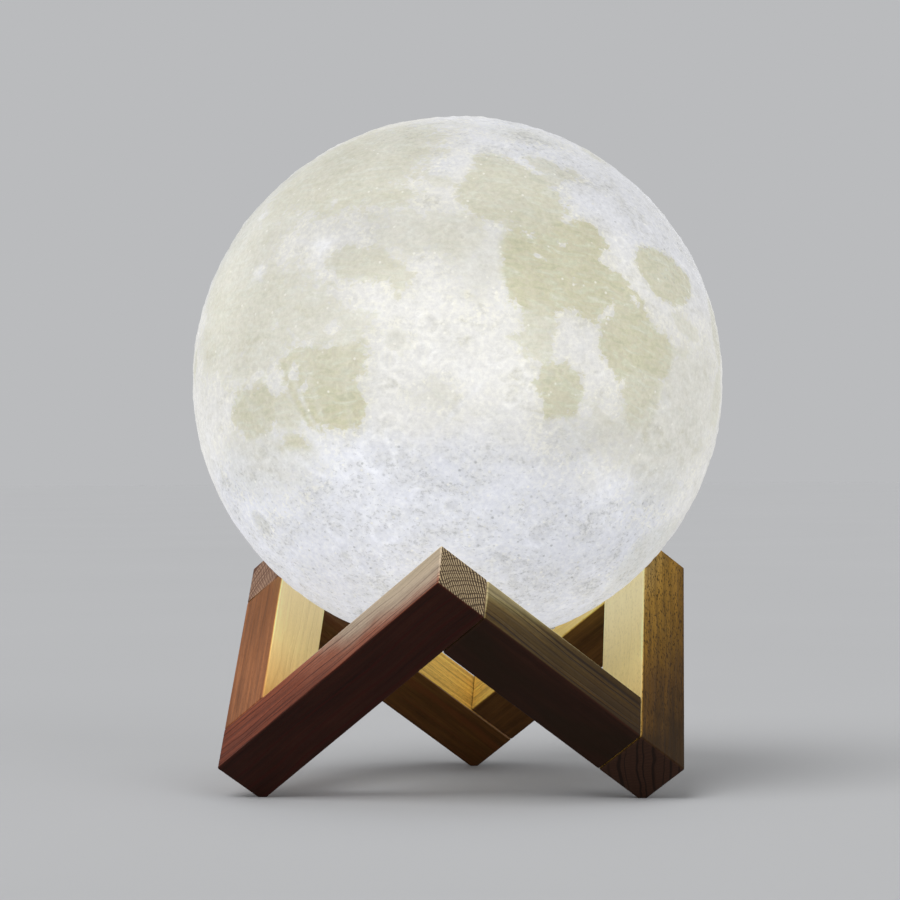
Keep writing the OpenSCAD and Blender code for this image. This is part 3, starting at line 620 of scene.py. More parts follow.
def tinyRings(plastic, at):
    # small ringed craters, in one cell of five
    cells = addNode(plastic, "TexVoronoi", {"Vector": at, "Scale": 1 / moonPatterns["rings"]})
    chosen = addNode(plastic, "SeparateColor", {"Color": cells.outputs["Color"]})
    some = addNode(plastic, "Math", {0: chosen.outputs["Red"], 1: 0.8}, operation="GREATER_THAN")
    ringDown = addNode(plastic, "MapRange", {"Value": cells.outputs["Distance"], "From Min": 0.14,
                                             "From Max": 0.22, "To Min": -0.5, "To Max": 1.0})
    ringUp = addNode(plastic, "MapRange", {"Value": cells.outputs["Distance"], "From Min": 0.22,
                                           "From Max": 0.34, "To Min": 1.0, "To Max": 0.0})
    ringed = addNode(plastic, "Math", {0: ringDown.outputs["Result"], 1: ringUp.outputs["Result"]},
                     operation="MINIMUM")
    return addNode(plastic, "Math", {0: ringed.outputs[0], 1: some.outputs[0]}, operation="MULTIPLY")


def addMarks(plastic, at, flat, patches, cold, ray, under):
    # specks a millimetre across, thick in the cold south
    flecks = addNode(plastic, "TexNoise", {"Vector": flat.outputs[0], "Scale": 1 / moonPatterns["specks"],
                                           "Detail": 2.0, "Roughness": 0.7})
    crowd = addNode(plastic, "Math", {0: patches.outputs["Fac"], 1: -0.5, 2: flecks.outputs["Fac"]},
                    operation="MULTIPLY_ADD")
    speckAt = addNode(plastic, "MapRange", {"Value": crowd.outputs[0], "From Min": 0.33, "From Max": 0.43})
    specks = addNode(plastic, "Math", {0: speckAt.outputs["Result"], 1: cold.outputs["Fac"]},
                     operation="MULTIPLY")
    speckAmount = addNode(plastic, "Math", {0: specks.outputs[0], 1: 0.36}, operation="MULTIPLY")
    withSpecks = addNode(plastic, "Mix", {0: speckAmount.outputs[0], 6: under.outputs[2],
                                          7: linear(moonColours["speck"])}, data_type="RGBA")

    # small dark pocks there, in some cells of 2 mm
    pocks = addNode(plastic, "TexVoronoi", {"Vector": at, "Scale": 1 / moonPatterns["pocks"]})
    drawn = addNode(plastic, "SeparateColor", {"Color": pocks.outputs["Color"]})
    pockDeep = addNode(plastic, "MapRange", {"Value": drawn.outputs["Green"], "From Min": 0.55,
                                             "From Max": 1.0, "To Max": 0.7})
    pockAt = addNode(plastic, "MapRange", {"Value": pocks.outputs["Distance"], "From Min": 0.26,
                                           "From Max": 0.12})
    pocked = addNode(plastic, "Math", {0: pockDeep.outputs["Result"], 1: pockAt.outputs["Result"]},
                     operation="MULTIPLY")
    offRay = addNode(plastic, "Math", {0: ray.outputs["Fac"], 1: -1.4, 2: 1.0}, operation="MULTIPLY_ADD",
                     use_clamp=True)
    coldPocks = addNode(plastic, "Math", {0: pocked.outputs[0], 1: cold.outputs["Fac"]},
                        operation="MULTIPLY")
    pockAmount = addNode(plastic, "Math", {0: coldPocks.outputs[0], 1: offRay.outputs[0]},
                         operation="MULTIPLY")
    withPocks = addNode(plastic, "Mix", {0: pockAmount.outputs[0], 6: withSpecks.outputs[2],
                                         7: linear(moonColours["speck"])}, data_type="RGBA")

    # and tiny bright craters all over, in one cell of six
    glinting = addNode(plastic, "Math", {0: drawn.outputs["Red"], 1: 0.84}, operation="GREATER_THAN")
    glintAt = addNode(plastic, "MapRange", {"Value": pocks.outputs["Distance"], "From Min": 0.24,
                                            "From Max": 0.12, "To Max": 0.65})
    glints = addNode(plastic, "Math", {0: glinting.outputs[0], 1: glintAt.outputs["Result"]},
                     operation="MULTIPLY")
    return addNode(plastic, "Mix", {0: glints.outputs[0], 6: withPocks.outputs[2],
                                    7: linear(moonColours["glint"])}, data_type="RGBA")


def layerLines(plastic, at, grit):
    # layer lines, drawn five times as far apart as real ones, level when the lamp stands
    up = moonTurn.transposed() @ Vector((0, 0, 1))
    level = addNode(plastic, "VectorMath", {0: at, 1: up}, operation="DOT_PRODUCT")
    turns = addNode(plastic, "Math", {0: level.outputs["Value"], 1: 2 * math.pi / globe["layer"]},
                    operation="MULTIPLY")
    ridge = addNode(plastic, "Math", {0: turns.outputs[0]}, operation="SINE")
    relief = addNode(plastic, "Math", {0: ridge.outputs[0], 1: 0.05, 2: grit.outputs["Fac"]},
                     operation="MULTIPLY_ADD")
    return addNode(plastic, "Bump", {"Strength": 0.5, "Distance": 0.25 * mm, "Height": relief.outputs[0]})


def makeMoonPrint():
    # white PLA, printed in layers and lit from inside: thick ground is dim and greenish, thin ground glows
    # white
    look = moonColours
    plastic = newMaterial("printed_pla")
    moonPlace, shore, darkness, ray, crater, cold, drift = [
        addNode(plastic, "Attribute", attribute_name=name)
        for name in ("moonPlace", "shore", "darkness", "ray", "crater", "cold", "drift")]
    at = moonPlace.outputs["Vector"]

    # mottling: patches and blotches drawn out along the moon's parallels, and grit
    flat = addNode(plastic, "Mapping", {"Vector": at, "Scale": (1, 1, 1.7)})
    patches = addNode(plastic, "TexNoise", {"Vector": flat.outputs[0], "Scale": 1 / moonPatterns["patches"],
                                            "Detail": 7.0, "Roughness": 0.62, "Distortion": 0.5})
    blotches = addNode(plastic, "TexNoise", {"Vector": flat.outputs[0],
                                             "Scale": 1 / moonPatterns["blotches"], "Detail": 5.0,
                                             "Roughness": 0.62, "Distortion": 0.6})
    grit = addNode(plastic, "TexNoise", {"Vector": at, "Scale": 1 / moonPatterns["grit"], "Detail": 3.0,
                                         "Roughness": 0.65})

    tint = addNode(plastic, "Math", {0: blotches.outputs["Fac"], 1: 0.45, 2: 0.0}, operation="MULTIPLY_ADD")
    mottle = addNode(plastic, "Math", {0: patches.outputs["Fac"], 1: 0.62, 2: tint.outputs[0]},
                     operation="MULTIPLY_ADD")
    highTone = addNode(plastic, "ValToRGB", {"Fac": mottle.outputs[0]}, stops=look["highland"])
    coldTone = addNode(plastic, "ValToRGB", {"Fac": mottle.outputs[0]}, stops=look["cold"])
    ground = addNode(plastic, "Mix", {0: cold.outputs["Fac"], 6: highTone.outputs["Color"],
                                      7: coldTone.outputs["Color"]}, data_type="RGBA")

    withShores = addSeas(plastic, at, shore, darkness, blotches, grit, ground)
    rayAmount = addNode(plastic, "Math", {0: ray.outputs["Fac"], 1: 0.6}, operation="MULTIPLY",
                        use_clamp=True)
    withRays = addNode(plastic, "Mix", {0: rayAmount.outputs[0], 6: withShores.outputs[2],
                                        7: linear(look["ray"])}, data_type="RGBA")

    # grit and craters lift or dim the light by a few per cent
    rings = tinyRings(plastic, at)
    gritLift = addNode(plastic, "MapRange", {"Value": grit.outputs["Fac"], "From Min": 0.3, "From Max": 0.7,
                                             "To Min": 0.91, "To Max": 1.07})
    craterLift = addNode(plastic, "MapRange", {"Value": crater.outputs["Fac"], "From Min": -0.5,
                                               "From Max": 0.8, "To Min": 0.89, "To Max": 1.13})
    ringLift = addNode(plastic, "Math", {0: rings.outputs[0], 1: 0.05, 2: craterLift.outputs["Result"]},
                       operation="MULTIPLY_ADD")
    fineLift = addNode(plastic, "Math", {0: gritLift.outputs["Result"], 1: ringLift.outputs[0]},
                       operation="MULTIPLY")
    lift = addNode(plastic, "Math", {0: fineLift.outputs[0], 1: drift.outputs["Fac"]}, operation="MULTIPLY")

    marked = addMarks(plastic, at, flat, patches, cold, ray, withRays)
    tone = addNode(plastic, "VectorMath", {0: marked.outputs[2], 3: lift.outputs[0]}, operation="SCALE")
    paint = addNode(plastic, "VectorMath", {0: tone.outputs[0], 3: look["paint"]}, operation="SCALE")

    bump = layerLines(plastic, at, grit)
    return finishMaterial(plastic, addNode(plastic, "BsdfPrincipled", {
        "Base Color": paint.outputs[0], "Roughness": 0.55, "IOR": 1.46, "Normal": bump.outputs[0],
        "Sheen Weight": 0.5, "Sheen Roughness": 0.25,
        "Emission Color": tone.outputs[0], "Emission Strength": look["glow"]}))


# what all six rails share: their sizes, how far apart the saw's marks are and how far the rings wander; the
# tones of ends that the globe's light doesn't reach, painted shade; and how strongly rings and pores show,
# and how much paler worn edges are, partly wear and partly a painted highlight
rail = {"thickness": 16.5 * mm, "length": 90.5 * mm, "bevel": 0.6 * mm, "footCut": 0.8 * mm,
        "glueLine": 0.15 * mm, "saw": 1.0 * mm, "wander": 5 * mm,
        "shadedEndPale": "#3C261B", "shadedEndDark": "#1C100A", "ringsShow": 0.85, "poresShow": 0.8, "wornAndLitPaler": 1.7}

# the wood's patterns in mm, along the grain and across it; fibres are drawn twice their real width
woodPatterns = {"swells": (45.45, 14.29), "streaks": (62.5, 2.381), "fibres": (18.18, 0.6667),
                "pores": (1.25, 0.3704), "clouds": (11.11, 11.11)}


def standPlace(turn):
    # a cube on its corner, its body diagonal upright, as the stand's rails follow its edges
    onCorner = (Matrix.Rotation(math.radians(30), 4, "Z")
                @ Matrix.Rotation(-math.atan(math.sqrt(2)), 4, "Y")
                @ Matrix.Rotation(math.radians(-45), 4, "Z"))
    floorZ = (rail["length"] - rail["thickness"] + rail["bevel"]) / math.sqrt(3) + rail["footCut"]
    return Matrix.Rotation(math.radians(turn), 4, "Z") @ Matrix.Translation((0, 0, -floorZ)) @ onCorner


# each rail's wood. turn is the rail's place in the ring in degrees. pith is where the tree's centre lies
# from the rail's lower corner and rings the spacing of its growth rings, both in mm; uneven is how much
# that spacing varies, in rings, and late the share of a ring that is late wood. lines, flecks and sawMarks
# say how strongly rings, pores and, on the ends, the saw's marks show. grain colours lines and pores,
# endPale and endDark the ends where the globe's light reaches them. calm says between which amounts of the
# globe's painted glow the grain fades, and how much of it is left. The tones are painted light and shade:
# they run from faces turned away from the globe, painted dark as shade, to those it shines on, painted pale
rails = {
    "front_long_rail": {
        "turn": 0, "long": True, "slot": "red_brown_wood", "pith": (-32, -30), "rings": 1.25,
        "uneven": 1.2, "late": 0.3, "lines": 1.0, "flecks": 0.3, "sawMarks": 1.0,
        "calm": (0.14, 0.2, 0.32), "grain": "#340F09", "endPale": "#BBA57F", "endDark": "#3E2C1C",
        "paintedLightTones": [(0.0, "#2F160D"), (0.012, "#33180F"), (0.045, "#6E3725"), (0.1, "#7E432E"),
                  (0.135, "#8F5A45"), (0.165, "#AB9681"), (0.19, "#B8A68F"), (0.5, "#EBD8AA")]},
    "right_long_rail": {
        "turn": 120, "long": True, "slot": "tan_wood", "pith": (-30, 46), "rings": 2.3,
        "uneven": 1.6, "late": 0.3, "lines": 0.45, "flecks": 1.0, "sawMarks": 0.25,
        "calm": (0.2, 0.35, 0.12), "grain": "#2E1E0A", "endPale": "#A88C5E", "endDark": "#5A4226",
        "paintedLightTones": [(0.0, "#2F1C0B"), (0.06, "#3C2910"), (0.1, "#65461A"), (0.14, "#896423"),
                  (0.18, "#A67D31"), (0.5, "#FFE9A4"), (0.85, "#FFF0BC")]},
    "rear_long_rail": {
        "turn": 240, "long": True, "slot": "golden_wood", "pith": (30, -24), "rings": 2.0,
        "uneven": 1.5, "late": 0.35, "lines": 0.6, "flecks": 0.4, "sawMarks": 0.5,
        "calm": (0.26, 0.7, 0.3), "grain": "#6B3A1C", "endPale": "#B08D75", "endDark": "#573426",
        "paintedLightTones": [(0.0, "#4A2C14"), (0.09, "#6C4A20"), (0.16, "#A6826A"), (0.2, "#B28E74"),
                  (0.3, "#F9C45A"), (0.45, "#FFD26A"), (0.86, "#FFE398")]},
    "front_short_rail": {
        "turn": 0, "long": False, "slot": "tan_wood", "pith": (8, -60), "rings": 3.4,
        "uneven": 1.9, "late": 0.36, "lines": 1.15, "flecks": 0.35, "sawMarks": 0.3,
        "calm": (0.15, 0.2, 0.4), "grain": "#24160A", "endPale": "#6A4A2C", "endDark": "#2C1B10",
        "paintedLightTones": [(0.0, "#2F170E"), (0.012, "#331A10"), (0.06, "#382711"), (0.09, "#443115"),
                  (0.12, "#4C3A1B"), (0.145, "#5A4622"), (0.165, "#715D35"), (0.178, "#86784D"),
                  (0.19, "#9E9068"), (0.5, "#E6D3A0")]},
    "rear_short_rail": {
        "turn": 120, "long": False, "slot": "golden_wood", "pith": (-26, 30), "rings": 2.6,
        "uneven": 1.8, "late": 0.35, "lines": 0.5, "flecks": 0.4, "sawMarks": 0.3,
        "calm": (0.26, 0.7, 0.3), "grain": "#6B4420", "endPale": "#A07848", "endDark": "#503020",
        "paintedLightTones": [(0.0, "#4A2C16"), (0.09, "#6C4A22"), (0.18, "#A98238"), (0.3, "#FBCB60"),
                  (0.45, "#FFDA72"), (0.86, "#FFE69A")]},
    "left_short_rail": {
        "turn": 240, "long": False, "slot": "red_brown_wood", "pith": (60, -52), "rings": 3.0,
        "uneven": 2.0, "late": 0.3, "lines": 0.3, "flecks": 0.3, "sawMarks": 0.3,
        "calm": (0.08, 0.3, 0.2), "grain": "#57301C", "endPale": "#A07848", "endDark": "#503020",
        "paintedLightTones": [(0.0, "#7A4830"), (0.1, "#9B6542"), (0.18, "#98633E"), (0.37, "#DDAA60"),
                  (0.6, "#FFE29C"), (0.86, "#FFE9B0")]},
}


def stretched(pattern):
    # a pattern's scale, drawn out along the grain
    along, across = woodPatterns[pattern]
    return 1 / (along * mm), 1 / (across * mm), 1 / (across * mm)


def growthRings(wood, look, at, pith):
    # growth rings that wander a little along the rail, unevenly far apart and unevenly dark
    slow = addNode(wood, "Mapping", {"Vector": at, "Scale": stretched("swells")})
    drift = addNode(wood, "TexNoise", {"Vector": slow.outputs[0], "Scale": 1.0, "Detail": 4.0,
                                       "Roughness": 0.45})
    shift = addNode(wood, "VectorMath", {0: drift.outputs["Color"], 1: (0.5, 0.5, 0.5)},
                    operation="SUBTRACT")
    shifted = addNode(wood, "VectorMath", {0: shift.outputs[0], 1: (0, rail["wander"], rail["wander"]),
                                           2: at}, operation="MULTIPLY_ADD")
    fromPith = addNode(wood, "VectorMath", {0: shifted.outputs[0], 1: pith}, operation="SUBTRACT")
    across = addNode(wood, "VectorMath", {0: fromPith.outputs[0], 1: (0.05, 1, 1)}, operation="MULTIPLY")
    radius = addNode(wood, "VectorMath", {0: across.outputs[0]}, operation="LENGTH")
    count = addNode(wood, "Math", {0: radius.outputs["Value"], 1: 1 / (look["rings"] * mm)},
                    operation="MULTIPLY")
    pace = addNode(wood, "TexNoise", {"W": count.outputs[0], "Scale": 0.45, "Detail": 1.0},
                   noise_dimensions="1D")
    paced = addNode(wood, "Math", {0: pace.outputs["Fac"], 1: 2 * look["uneven"], 2: count.outputs[0]},
                    operation="MULTIPLY_ADD")
    ring = addNode(wood, "Math", {0: paced.outputs[0]}, operation="FRACT")
    lateWood = addNode(wood, "ValToRGB", {"Fac": ring.outputs[0]},
                       stops=[(0.0, (0.4, 0.4, 0.4, 1)), (0.06, (0, 0, 0, 1)),
                              (0.95 - 0.9 * look["late"], (0.06, 0.06, 0.06, 1)),
                              (0.95 - 0.4 * look["late"], (1, 1, 1, 1)), (0.96, (1, 1, 1, 1)),
                              (1.0, (0.4, 0.4, 0.4, 1))])
    season = addNode(wood, "TexNoise", {"W": paced.outputs[0], "Scale": 0.8, "Detail": 0.0},
                     noise_dimensions="1D")
    seasonal = addNode(wood, "MapRange", {"Value": season.outputs["Fac"], "From Min": 0.35,
                                          "From Max": 0.62, "To Min": 0.30, "To Max": 1.0})
    return shifted, count, lateWood, seasonal


def paintedGlobeLight(wood):
    # how much of the globe's light a face gets: ratio squared times the cosine, and less where it half
    # sets;
    # it drives the painted glow and painted shade in the wood's colour
    coords = addNode(wood, "TexCoord")
    towards = addNode(wood, "VectorMath", {0: tuple(globeCentre), 1: coords.outputs["Object"]},
                      operation="SUBTRACT")
    distance = addNode(wood, "VectorMath", {0: towards.outputs[0]}, operation="LENGTH")
    heading = addNode(wood, "VectorMath", {0: towards.outputs[0]}, operation="NORMALIZE")
    facing = addNode(wood, "VectorMath", {0: heading.outputs[0], 1: coords.outputs["Normal"]},
                     operation="DOT_PRODUCT")
    ratio = addNode(wood, "Math", {0: globeR, 1: distance.outputs["Value"]}, operation="DIVIDE")
    wide = addNode(wood, "Math", {0: ratio.outputs[0], 1: ratio.outputs[0]}, operation="MULTIPLY")
    whole = addNode(wood, "Math", {0: wide.outputs[0], 1: facing.outputs["Value"]}, operation="MULTIPLY")
    risen = addNode(wood, "Math", {0: facing.outputs["Value"], 1: ratio.outputs[0]})
    risenUp = addNode(wood, "Math", {0: risen.outputs[0], 1: 0.0}, operation="MAXIMUM")
    squared = addNode(wood, "Math", {0: risenUp.outputs[0], 1: risenUp.outputs[0]}, operation="MULTIPLY")
    scaled = addNode(wood, "Math", {0: squared.outputs[0], 1: ratio.outputs[0]}, operation="MULTIPLY")
    partly = addNode(wood, "Math", {0: scaled.outputs[0], 1: 0.25}, operation="MULTIPLY")
    allOfIt = addNode(wood, "Math", {0: facing.outputs["Value"], 1: ratio.outputs[0]},
                      operation="GREATER_THAN")
    return addNode(wood, "Mix", {0: allOfIt.outputs[0], 2: partly.outputs[0], 3: whole.outputs[0]},
                   data_type="FLOAT")


def endGrain(wood, look, at, shifted, count, lateWood, glow, pith):
    # the ends: rings crossed by the saw's marks, so that they show as rows of pale cells; only the long
    # rails' ends are seen, so the far one is theirs
    split = addNode(wood, "SeparateXYZ", {0: at})
    nearEnd = addNode(wood, "Math", {0: split.outputs["X"], 1: 0.05 * mm}, operation="LESS_THAN")
    farEnd = addNode(wood, "Math", {0: split.outputs["X"], 1: rail["length"] - 0.05 * mm},
                     operation="GREATER_THAN")
    onEnd = addNode(wood, "Math", {0: nearEnd.outputs[0], 1: farEnd.outputs[0]}, operation="MAXIMUM")
    middle = Vector((0, rail["thickness"] / 2, rail["thickness"] / 2))
    outward = (middle - pith).normalized()
    sideways = Vector((0, -outward.z, outward.y))
    tangent = addNode(wood, "VectorMath", {0: shifted.outputs[0], 1: sideways}, operation="DOT_PRODUCT")
    sawTurns = addNode(wood, "Math", {0: tangent.outputs["Value"], 1: 2 * math.pi / rail["saw"]},
                       operation="MULTIPLY")
    brick = addNode(wood, "Math", {0: count.outputs[0], 1: math.pi, 2: sawTurns.outputs[0]},
                    operation="MULTIPLY_ADD")
    saw = addNode(wood, "Math", {0: brick.outputs[0]}, operation="SINE")
    sawAt = addNode(wood, "MapRange", {"Value": saw.outputs[0], "From Min": -0.6, "From Max": 0.5})
    gaps = addNode(wood, "Math", {0: sawAt.outputs["Result"], 1: look["sawMarks"]}, operation="MULTIPLY")
    endLines = addNode(wood, "Math", {0: lateWood.outputs["Color"], 1: rail["ringsShow"]},
                       operation="MULTIPLY")
    darkCells = addNode(wood, "Math", {0: gaps.outputs[0], 1: endLines.outputs[0]}, operation="MAXIMUM")
    # painted light and shade on the ends: dark shaded tones where the globe's light doesn't reach, paler
    # where it does
    endGlowAmount = addNode(wood, "MapRange", {"Value": glow.outputs[0], "From Min": 0.02, "From Max": 0.14})
    cells = addNode(wood, "Mix", {0: endGlowAmount.outputs["Result"], 6: linear(rail["shadedEndPale"]),
                                  7: linear(look["endPale"])}, data_type="RGBA")
    marks = addNode(wood, "Mix", {0: endGlowAmount.outputs["Result"], 6: linear(rail["shadedEndDark"]),
                                  7: linear(look["endDark"])}, data_type="RGBA")
    endTone = addNode(wood, "Mix", {0: darkCells.outputs[0], 6: cells.outputs[2], 7: marks.outputs[2]},
                      data_type="RGBA")
    return onEnd, darkCells, endTone


def makeWood(name, look):
    # soft brown timber, planed and oiled: fine straight grain, darker late-wood lines, saw marks across its
    # ends, edges a little paler, partly wear and partly a painted highlight, and the globe's light and
    # shade painted in
    wood = newMaterial("oiled_wood_" + name)
    inRail = addNode(wood, "Attribute", attribute_name="railPlace")
    worn = addNode(wood, "Attribute", attribute_name="edge")
    at = inRail.outputs["Vector"]

    pith = Vector((0, look["pith"][0] * mm, look["pith"][1] * mm))
    shifted, count, lateWood, seasonal = growthRings(wood, look, at, pith)

    along = addNode(wood, "Mapping", {"Vector": at, "Scale": stretched("fibres")})
    fibres = addNode(wood, "TexNoise", {"Vector": along.outputs[0], "Scale": 1.0, "Detail": 3.0,
                                        "Roughness": 0.6})
    broad = addNode(wood, "Mapping", {"Vector": at, "Scale": stretched("streaks")})
    streaks = addNode(wood, "TexNoise", {"Vector": broad.outputs[0], "Scale": 1.0, "Detail": 4.0,
                                         "Roughness": 0.6})
    cloud = addNode(wood, "TexNoise", {"Vector": at, "Scale": stretched("clouds")[0], "Detail": 3.0})
    short = addNode(wood, "Mapping", {"Vector": at, "Scale": stretched("pores")})
    pores = addNode(wood, "TexNoise", {"Vector": short.outputs[0], "Scale": 1.0, "Detail": 2.0})
    poreAt = addNode(wood, "MapRange", {"Value": pores.outputs["Fac"], "From Min": 0.54, "From Max": 0.64})

    # painted light and shade: the tone of the wood follows the light that it would get from the globe, dark
    # where it gets none and pale where it shines
    glow = paintedGlobeLight(wood)
    mottled = addNode(wood, "MapRange", {"Value": cloud.outputs["Fac"], "From Min": 0.3, "From Max": 0.7,
                                         "To Min": -0.010, "To Max": 0.010})
    paintedLightLevel = addNode(wood, "Math", {0: glow.outputs[0], 1: mottled.outputs["Result"]})
    body = addNode(wood, "ValToRGB", {"Fac": paintedLightLevel.outputs[0]}, stops=look["paintedLightTones"])

    # streaks, fibres, rings and pores, all fainter where the globe's painted glow is strong
    paintedGlowFade = addNode(wood, "MapRange", {"Value": glow.outputs[0], "From Min": look["calm"][0],
                                        "From Max": look["calm"][1], "To Min": 1.0,
                                        "To Max": look["calm"][2]})
    streakLift = addNode(wood, "MapRange", {"Value": streaks.outputs["Fac"], "From Min": 0.3,
                                            "From Max": 0.7, "To Min": 0.60, "To Max": 1.36})
    fibreLift = addNode(wood, "MapRange", {"Value": fibres.outputs["Fac"], "From Min": 0.3, "From Max": 0.7,
                                           "To Min": 0.76, "To Max": 1.20})
    rawLift = addNode(wood, "Math", {0: streakLift.outputs["Result"], 1: fibreLift.outputs["Result"]},
                      operation="MULTIPLY")
    lift = addNode(wood, "Mix", {0: paintedGlowFade.outputs["Result"], 2: 1.0, 3: rawLift.outputs[0]},
                   data_type="FLOAT")
    grained = addNode(wood, "VectorMath", {0: body.outputs["Color"], 3: lift.outputs[0]}, operation="SCALE")
    lineAmount = addNode(wood, "Math", {0: lateWood.outputs["Color"], 1: seasonal.outputs["Result"]},
                         operation="MULTIPLY")
    lineCalm = addNode(wood, "Math", {0: lineAmount.outputs[0], 1: paintedGlowFade.outputs["Result"]},
                       operation="MULTIPLY")
    lineShown = addNode(wood, "Math", {0: lineCalm.outputs[0], 1: look["lines"] * rail["ringsShow"]},
                        operation="MULTIPLY")
    lined = addNode(wood, "Mix", {0: lineShown.outputs[0], 6: grained.outputs[0], 7: linear(look["grain"])},
                    data_type="RGBA")
    fleckAmount = addNode(wood, "Math", {0: poreAt.outputs["Result"], 1: paintedGlowFade.outputs["Result"]},
                          operation="MULTIPLY")
    fleckShown = addNode(wood, "Math", {0: fleckAmount.outputs[0], 1: look["flecks"] * rail["poresShow"]},
                         operation="MULTIPLY")
    flecked = addNode(wood, "Mix", {0: fleckShown.outputs[0], 6: lined.outputs[2],
                                    7: linear(look["grain"])}, data_type="RGBA")

    onEnd, darkCells, endTone = endGrain(wood, look, at, shifted, count, lateWood, glow, pith)
    withEnds = addNode(wood, "Mix", {0: onEnd.outputs[0], 6: flecked.outputs[2], 7: endTone.outputs[2]},
                       data_type="RGBA")

    # edges paler, partly wear and partly a painted highlight where the edges catch the light
    chafed = addNode(wood, "MapRange", {"Value": fibres.outputs["Fac"], "From Min": 0.35, "From Max": 0.6,
                                        "To Min": 0.1, "To Max": 0.45})
    wearAndHighlight = addNode(wood, "Math", {0: worn.outputs["Fac"], 1: chafed.outputs["Result"]},
                         operation="MULTIPLY")
    paler = addNode(wood, "VectorMath", {0: withEnds.outputs[2], 3: rail["wornAndLitPaler"]}, operation="SCALE")
    finished = addNode(wood, "Mix", {0: wearAndHighlight.outputs[0], 6: withEnds.outputs[2], 7: paler.outputs[0]},
                       data_type="RGBA", clamp_result=True)

    relief = addNode(wood, "Math", {0: fibres.outputs["Fac"], 1: 0.8, 2: lateWood.outputs["Color"]},
                     operation="MULTIPLY_ADD")
    endRelief = addNode(wood, "Mix", {0: onEnd.outputs[0], 2: relief.outputs[0], 3: darkCells.outputs[0]},
                        data_type="FLOAT")
    bump = addNode(wood, "Bump", {"Strength": 0.4, "Distance": -0.12 * mm, "Height": endRelief.outputs[0]})
    rough = addNode(wood, "MapRange", {"Value": fibres.outputs["Fac"], "From Min": 0.3, "From Max": 0.7,
                                       "To Min": 0.48, "To Max": 0.66})
    return finishMaterial(wood, addNode(wood, "BsdfPrincipled", {
        "Base Color": finished.outputs[2], "Roughness": rough.outputs["Result"], "IOR": 1.45,
        "Specular IOR Level": 0.12, "Normal": bump.outputs[0]}))


def makeRail(name, look):
    # a square bar with softened edges, X along the grain, set into the stand's cube
    thick, length = rail["thickness"], rail["length"]
    if look["long"]:
        inCube = Matrix.Translation((0, 0, length - thick))
    else:
        inCube = Matrix(((0, 1, 0, length - thick), (0, 0, 1, 0),
                         (1, 0, 0, thick + rail["glueLine"]), (0, 0, 0, 1)))
        length -= 2 * thick + 2 * rail["glueLine"]
    place = standPlace(look["turn"]) @ inCube
    bm = bmesh.new()
    bmesh.ops.create_cube(bm, size=1)
    bmesh.ops.scale(bm, vec=(length, thick, thick), verts=bm.verts[:])
    bmesh.ops.translate(bm, vec=(length / 2, thick / 2, thick / 2), verts=bm.verts[:])
    bmesh.ops.bevel(bm, geom=bm.edges[:] + bm.verts[:], offset=rail["bevel"], segments=4, profile=0.6,
                    affect="EDGES", clamp_overlap=True)
    if look["long"]:
        back = place.inverted()
        cut = bmesh.ops.bisect_plane(bm, geom=bm.verts[:] + bm.edges[:] + bm.faces[:], dist=1e-7,
                                     plane_co=back @ Vector((0, 0, 0)),
                                     plane_no=back.to_3x3() @ Vector((0, 0, -1)), clear_outer=True)
        rim = [e for e in cut["geom_cut"] if isinstance(e, bmesh.types.BMEdge)]
        bmesh.ops.holes_fill(bm, edges=rim, sides=0)
    bmesh.ops.recalc_face_normals(bm, faces=bm.faces[:])
    for face in bm.faces:
        face.smooth = face.calc_area() < 20 * mm * mm
    mesh = bpy.data.meshes.new(name + "_wood")
    bm.to_mesh(mesh)
    bm.free()

    # the place along and across the grain, and 1 along the middle of each rounded edge
    places = np.empty(len(mesh.vertices) * 3, np.float32)
    mesh.vertices.foreach_get("co", places)
    attribute = mesh.attributes.new("railPlace", "FLOAT_VECTOR", "POINT")
    attribute.data.foreach_set("vector", places)
    inBar = places.reshape(-1, 3)
    toFaces = np.minimum(inBar, np.array([length, thick, thick]) - inBar).min(axis=1)
    attribute = mesh.attributes.new("edge", "FLOAT", "POINT")
    attribute.data.foreach_set("value", (toFaces > 0.02 * mm).astype(np.float32))
    mesh.transform(place)
    bar = bpy.data.objects.new(name + "_wood", mesh)
    bpy.context.scene.collection.objects.link(bar)
    dress(bar, makeWood(name, look))
    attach(bar, "stand")
    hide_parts(name)


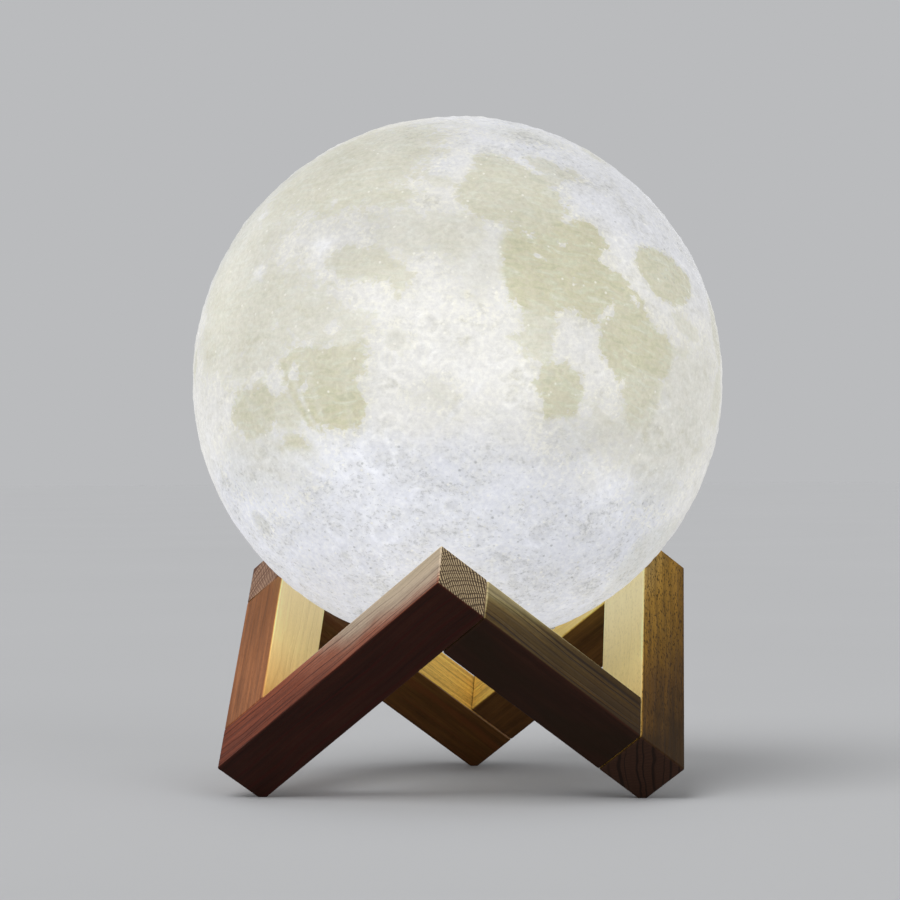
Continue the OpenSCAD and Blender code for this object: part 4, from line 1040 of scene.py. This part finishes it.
# finishes of the light unit and the dowels: colour, second colour, roughness, metallic, mottling in mm
finishes = {
    "satin_abs": ("#E9E9E6", "#DEDEDA", 0.42, 0.0, 0.6),  # off-white moulded plastic with a soft shine
    "button_abs": ("#F2F2F0", "#E6E6E3", 0.32, 0.0, 0.5),  # whiter and shinier, as fingers polish it
    "zinc_steel": ("#C9CBCE", "#A9ACB0", 0.30, 1.0, 0.8),  # bright screws, a little cloudy
    "tinned_steel": ("#D2D4D6", "#B4B6B9", 0.26, 1.0, 0.5),  # the socket's smooth pale shell
    "solder_mask": ("#1F6B3D", "#175430", 0.38, 0.0, 1.5),  # a green board under a shiny skin
    "chip_epoxy": ("#24262A", "#181A1D", 0.55, 0.0, 0.4),  # nearly black and dull
    "cell_foil": ("#B9C2CB", "#9CA6B0", 0.34, 0.8, 3.0),  # a silvery pouch, cloudy in broad patches
    "foam_rubber": ("#4A4C50", "#2E3034", 0.95, 0.0, 0.5),  # dark grey without any shine
    "wire_pvc": ("#B3231E", "#8E1A17", 0.45, 0.0, 1.0),  # a red sheath
    "switch_nylon": ("#1E2023", "#2E3136", 0.50, 0.0, 0.6),  # black, half dull
    "port_nylon": ("#18191B", "#26282B", 0.45, 0.0, 0.5),  # black, for the tongue in the socket
    "red_epoxy": ("#B42A22", "#D2443A", 0.18, 0.0, 0.8),  # the charge light's glossy red lens
    "white_mask": ("#F0F1EE", "#E4E6E2", 0.40, 0.0, 1.2),  # a white board that throws the light back
    "beech_dowel": ("#D3B587", "#B8935F", 0.70, 0.0, 0.7),  # pale dry wood
    "phosphor": ("#F2D96B", "#E8C23E", 0.40, 0.0, 0.6),  # amber faces of the warm LEDs
    "cool_phosphor": ("#F3EE9C", "#EDE274", 0.40, 0.0, 0.6),  # lemon faces of the cool LEDs
    "milky_acrylic": ("#F1F1EC", "#E6E6E0", 0.35, 0.0, 2.0),  # a cloudy white dome
}

# the CAD nodes that wear each finish
wears = {
    "satin_abs": ["mounting_collar", "base_housing", "housing_lid", "led_post"],
    "button_abs": ["power_button"],
    "zinc_steel": ["lid_screws", "board_screws", "post_screws", "led_board_screws"],
    "tinned_steel": ["usb_socket"],
    "solder_mask": ["main_board"],
    "chip_epoxy": ["board_chips"],
    "cell_foil": ["battery"],
    "foam_rubber": ["battery_pad"],
    "wire_pvc": ["battery_leads", "led_leads"],
    "switch_nylon": ["push_switch", "switch_plunger"],
    "port_nylon": ["usb_tongue"],
    "red_epoxy": ["charge_led"],
    "white_mask": ["led_board"],
    "beech_dowel": ["rail_dowels"],
    "phosphor": ["warm_leds"],
    "cool_phosphor": ["cool_leds"],
    "milky_acrylic": ["diffuser_dome"],
}

# finishes that shine by themselves, and how strongly
glows = {"phosphor": 1.2, "cool_phosphor": 1.2, "milky_acrylic": 0.6}


def makeFinish(name):
    # two close tones in clouds, with the roughness and a shallow relief following them
    colour, second, roughness, metallic, grainSize = finishes[name]
    finish = newMaterial(name)
    place = addNode(finish, "TexCoord")
    cloud = addNode(finish, "TexNoise", {"Vector": place.outputs["Object"], "Scale": 1 / (grainSize * mm),
                                         "Detail": 4.0})
    tone = addNode(finish, "ValToRGB", {"Fac": cloud.outputs["Fac"]},
                   stops=[(0.35, second), (0.65, colour)])
    rough = addNode(finish, "MapRange", {"Value": cloud.outputs["Fac"], "To Min": roughness - 0.06,
                                         "To Max": roughness + 0.06})
    bump = addNode(finish, "Bump", {"Strength": 0.15, "Distance": 0.04 * mm,
                                    "Height": cloud.outputs["Fac"]})
    shader = {"Base Color": tone.outputs["Color"], "Metallic": metallic,
              "Roughness": rough.outputs["Result"], "Normal": bump.outputs[0]}
    if name in glows:
        shader["Emission Color"] = tone.outputs["Color"]
        shader["Emission Strength"] = glows[name]
    return finishMaterial(finish, addNode(finish, "BsdfPrincipled", shader))


makeCamera()
makeStage()
print("camera and stage made")
makeGlobe()
for name, look in rails.items():
    makeRail(name, look)
print("stand made")
for name, worn in wears.items():
    material = makeFinish(name)
    for node in worn:
        dress(nodes[node], material)
print("light unit dressed")

bpy.context.scene.view_settings.view_transform = "Standard"
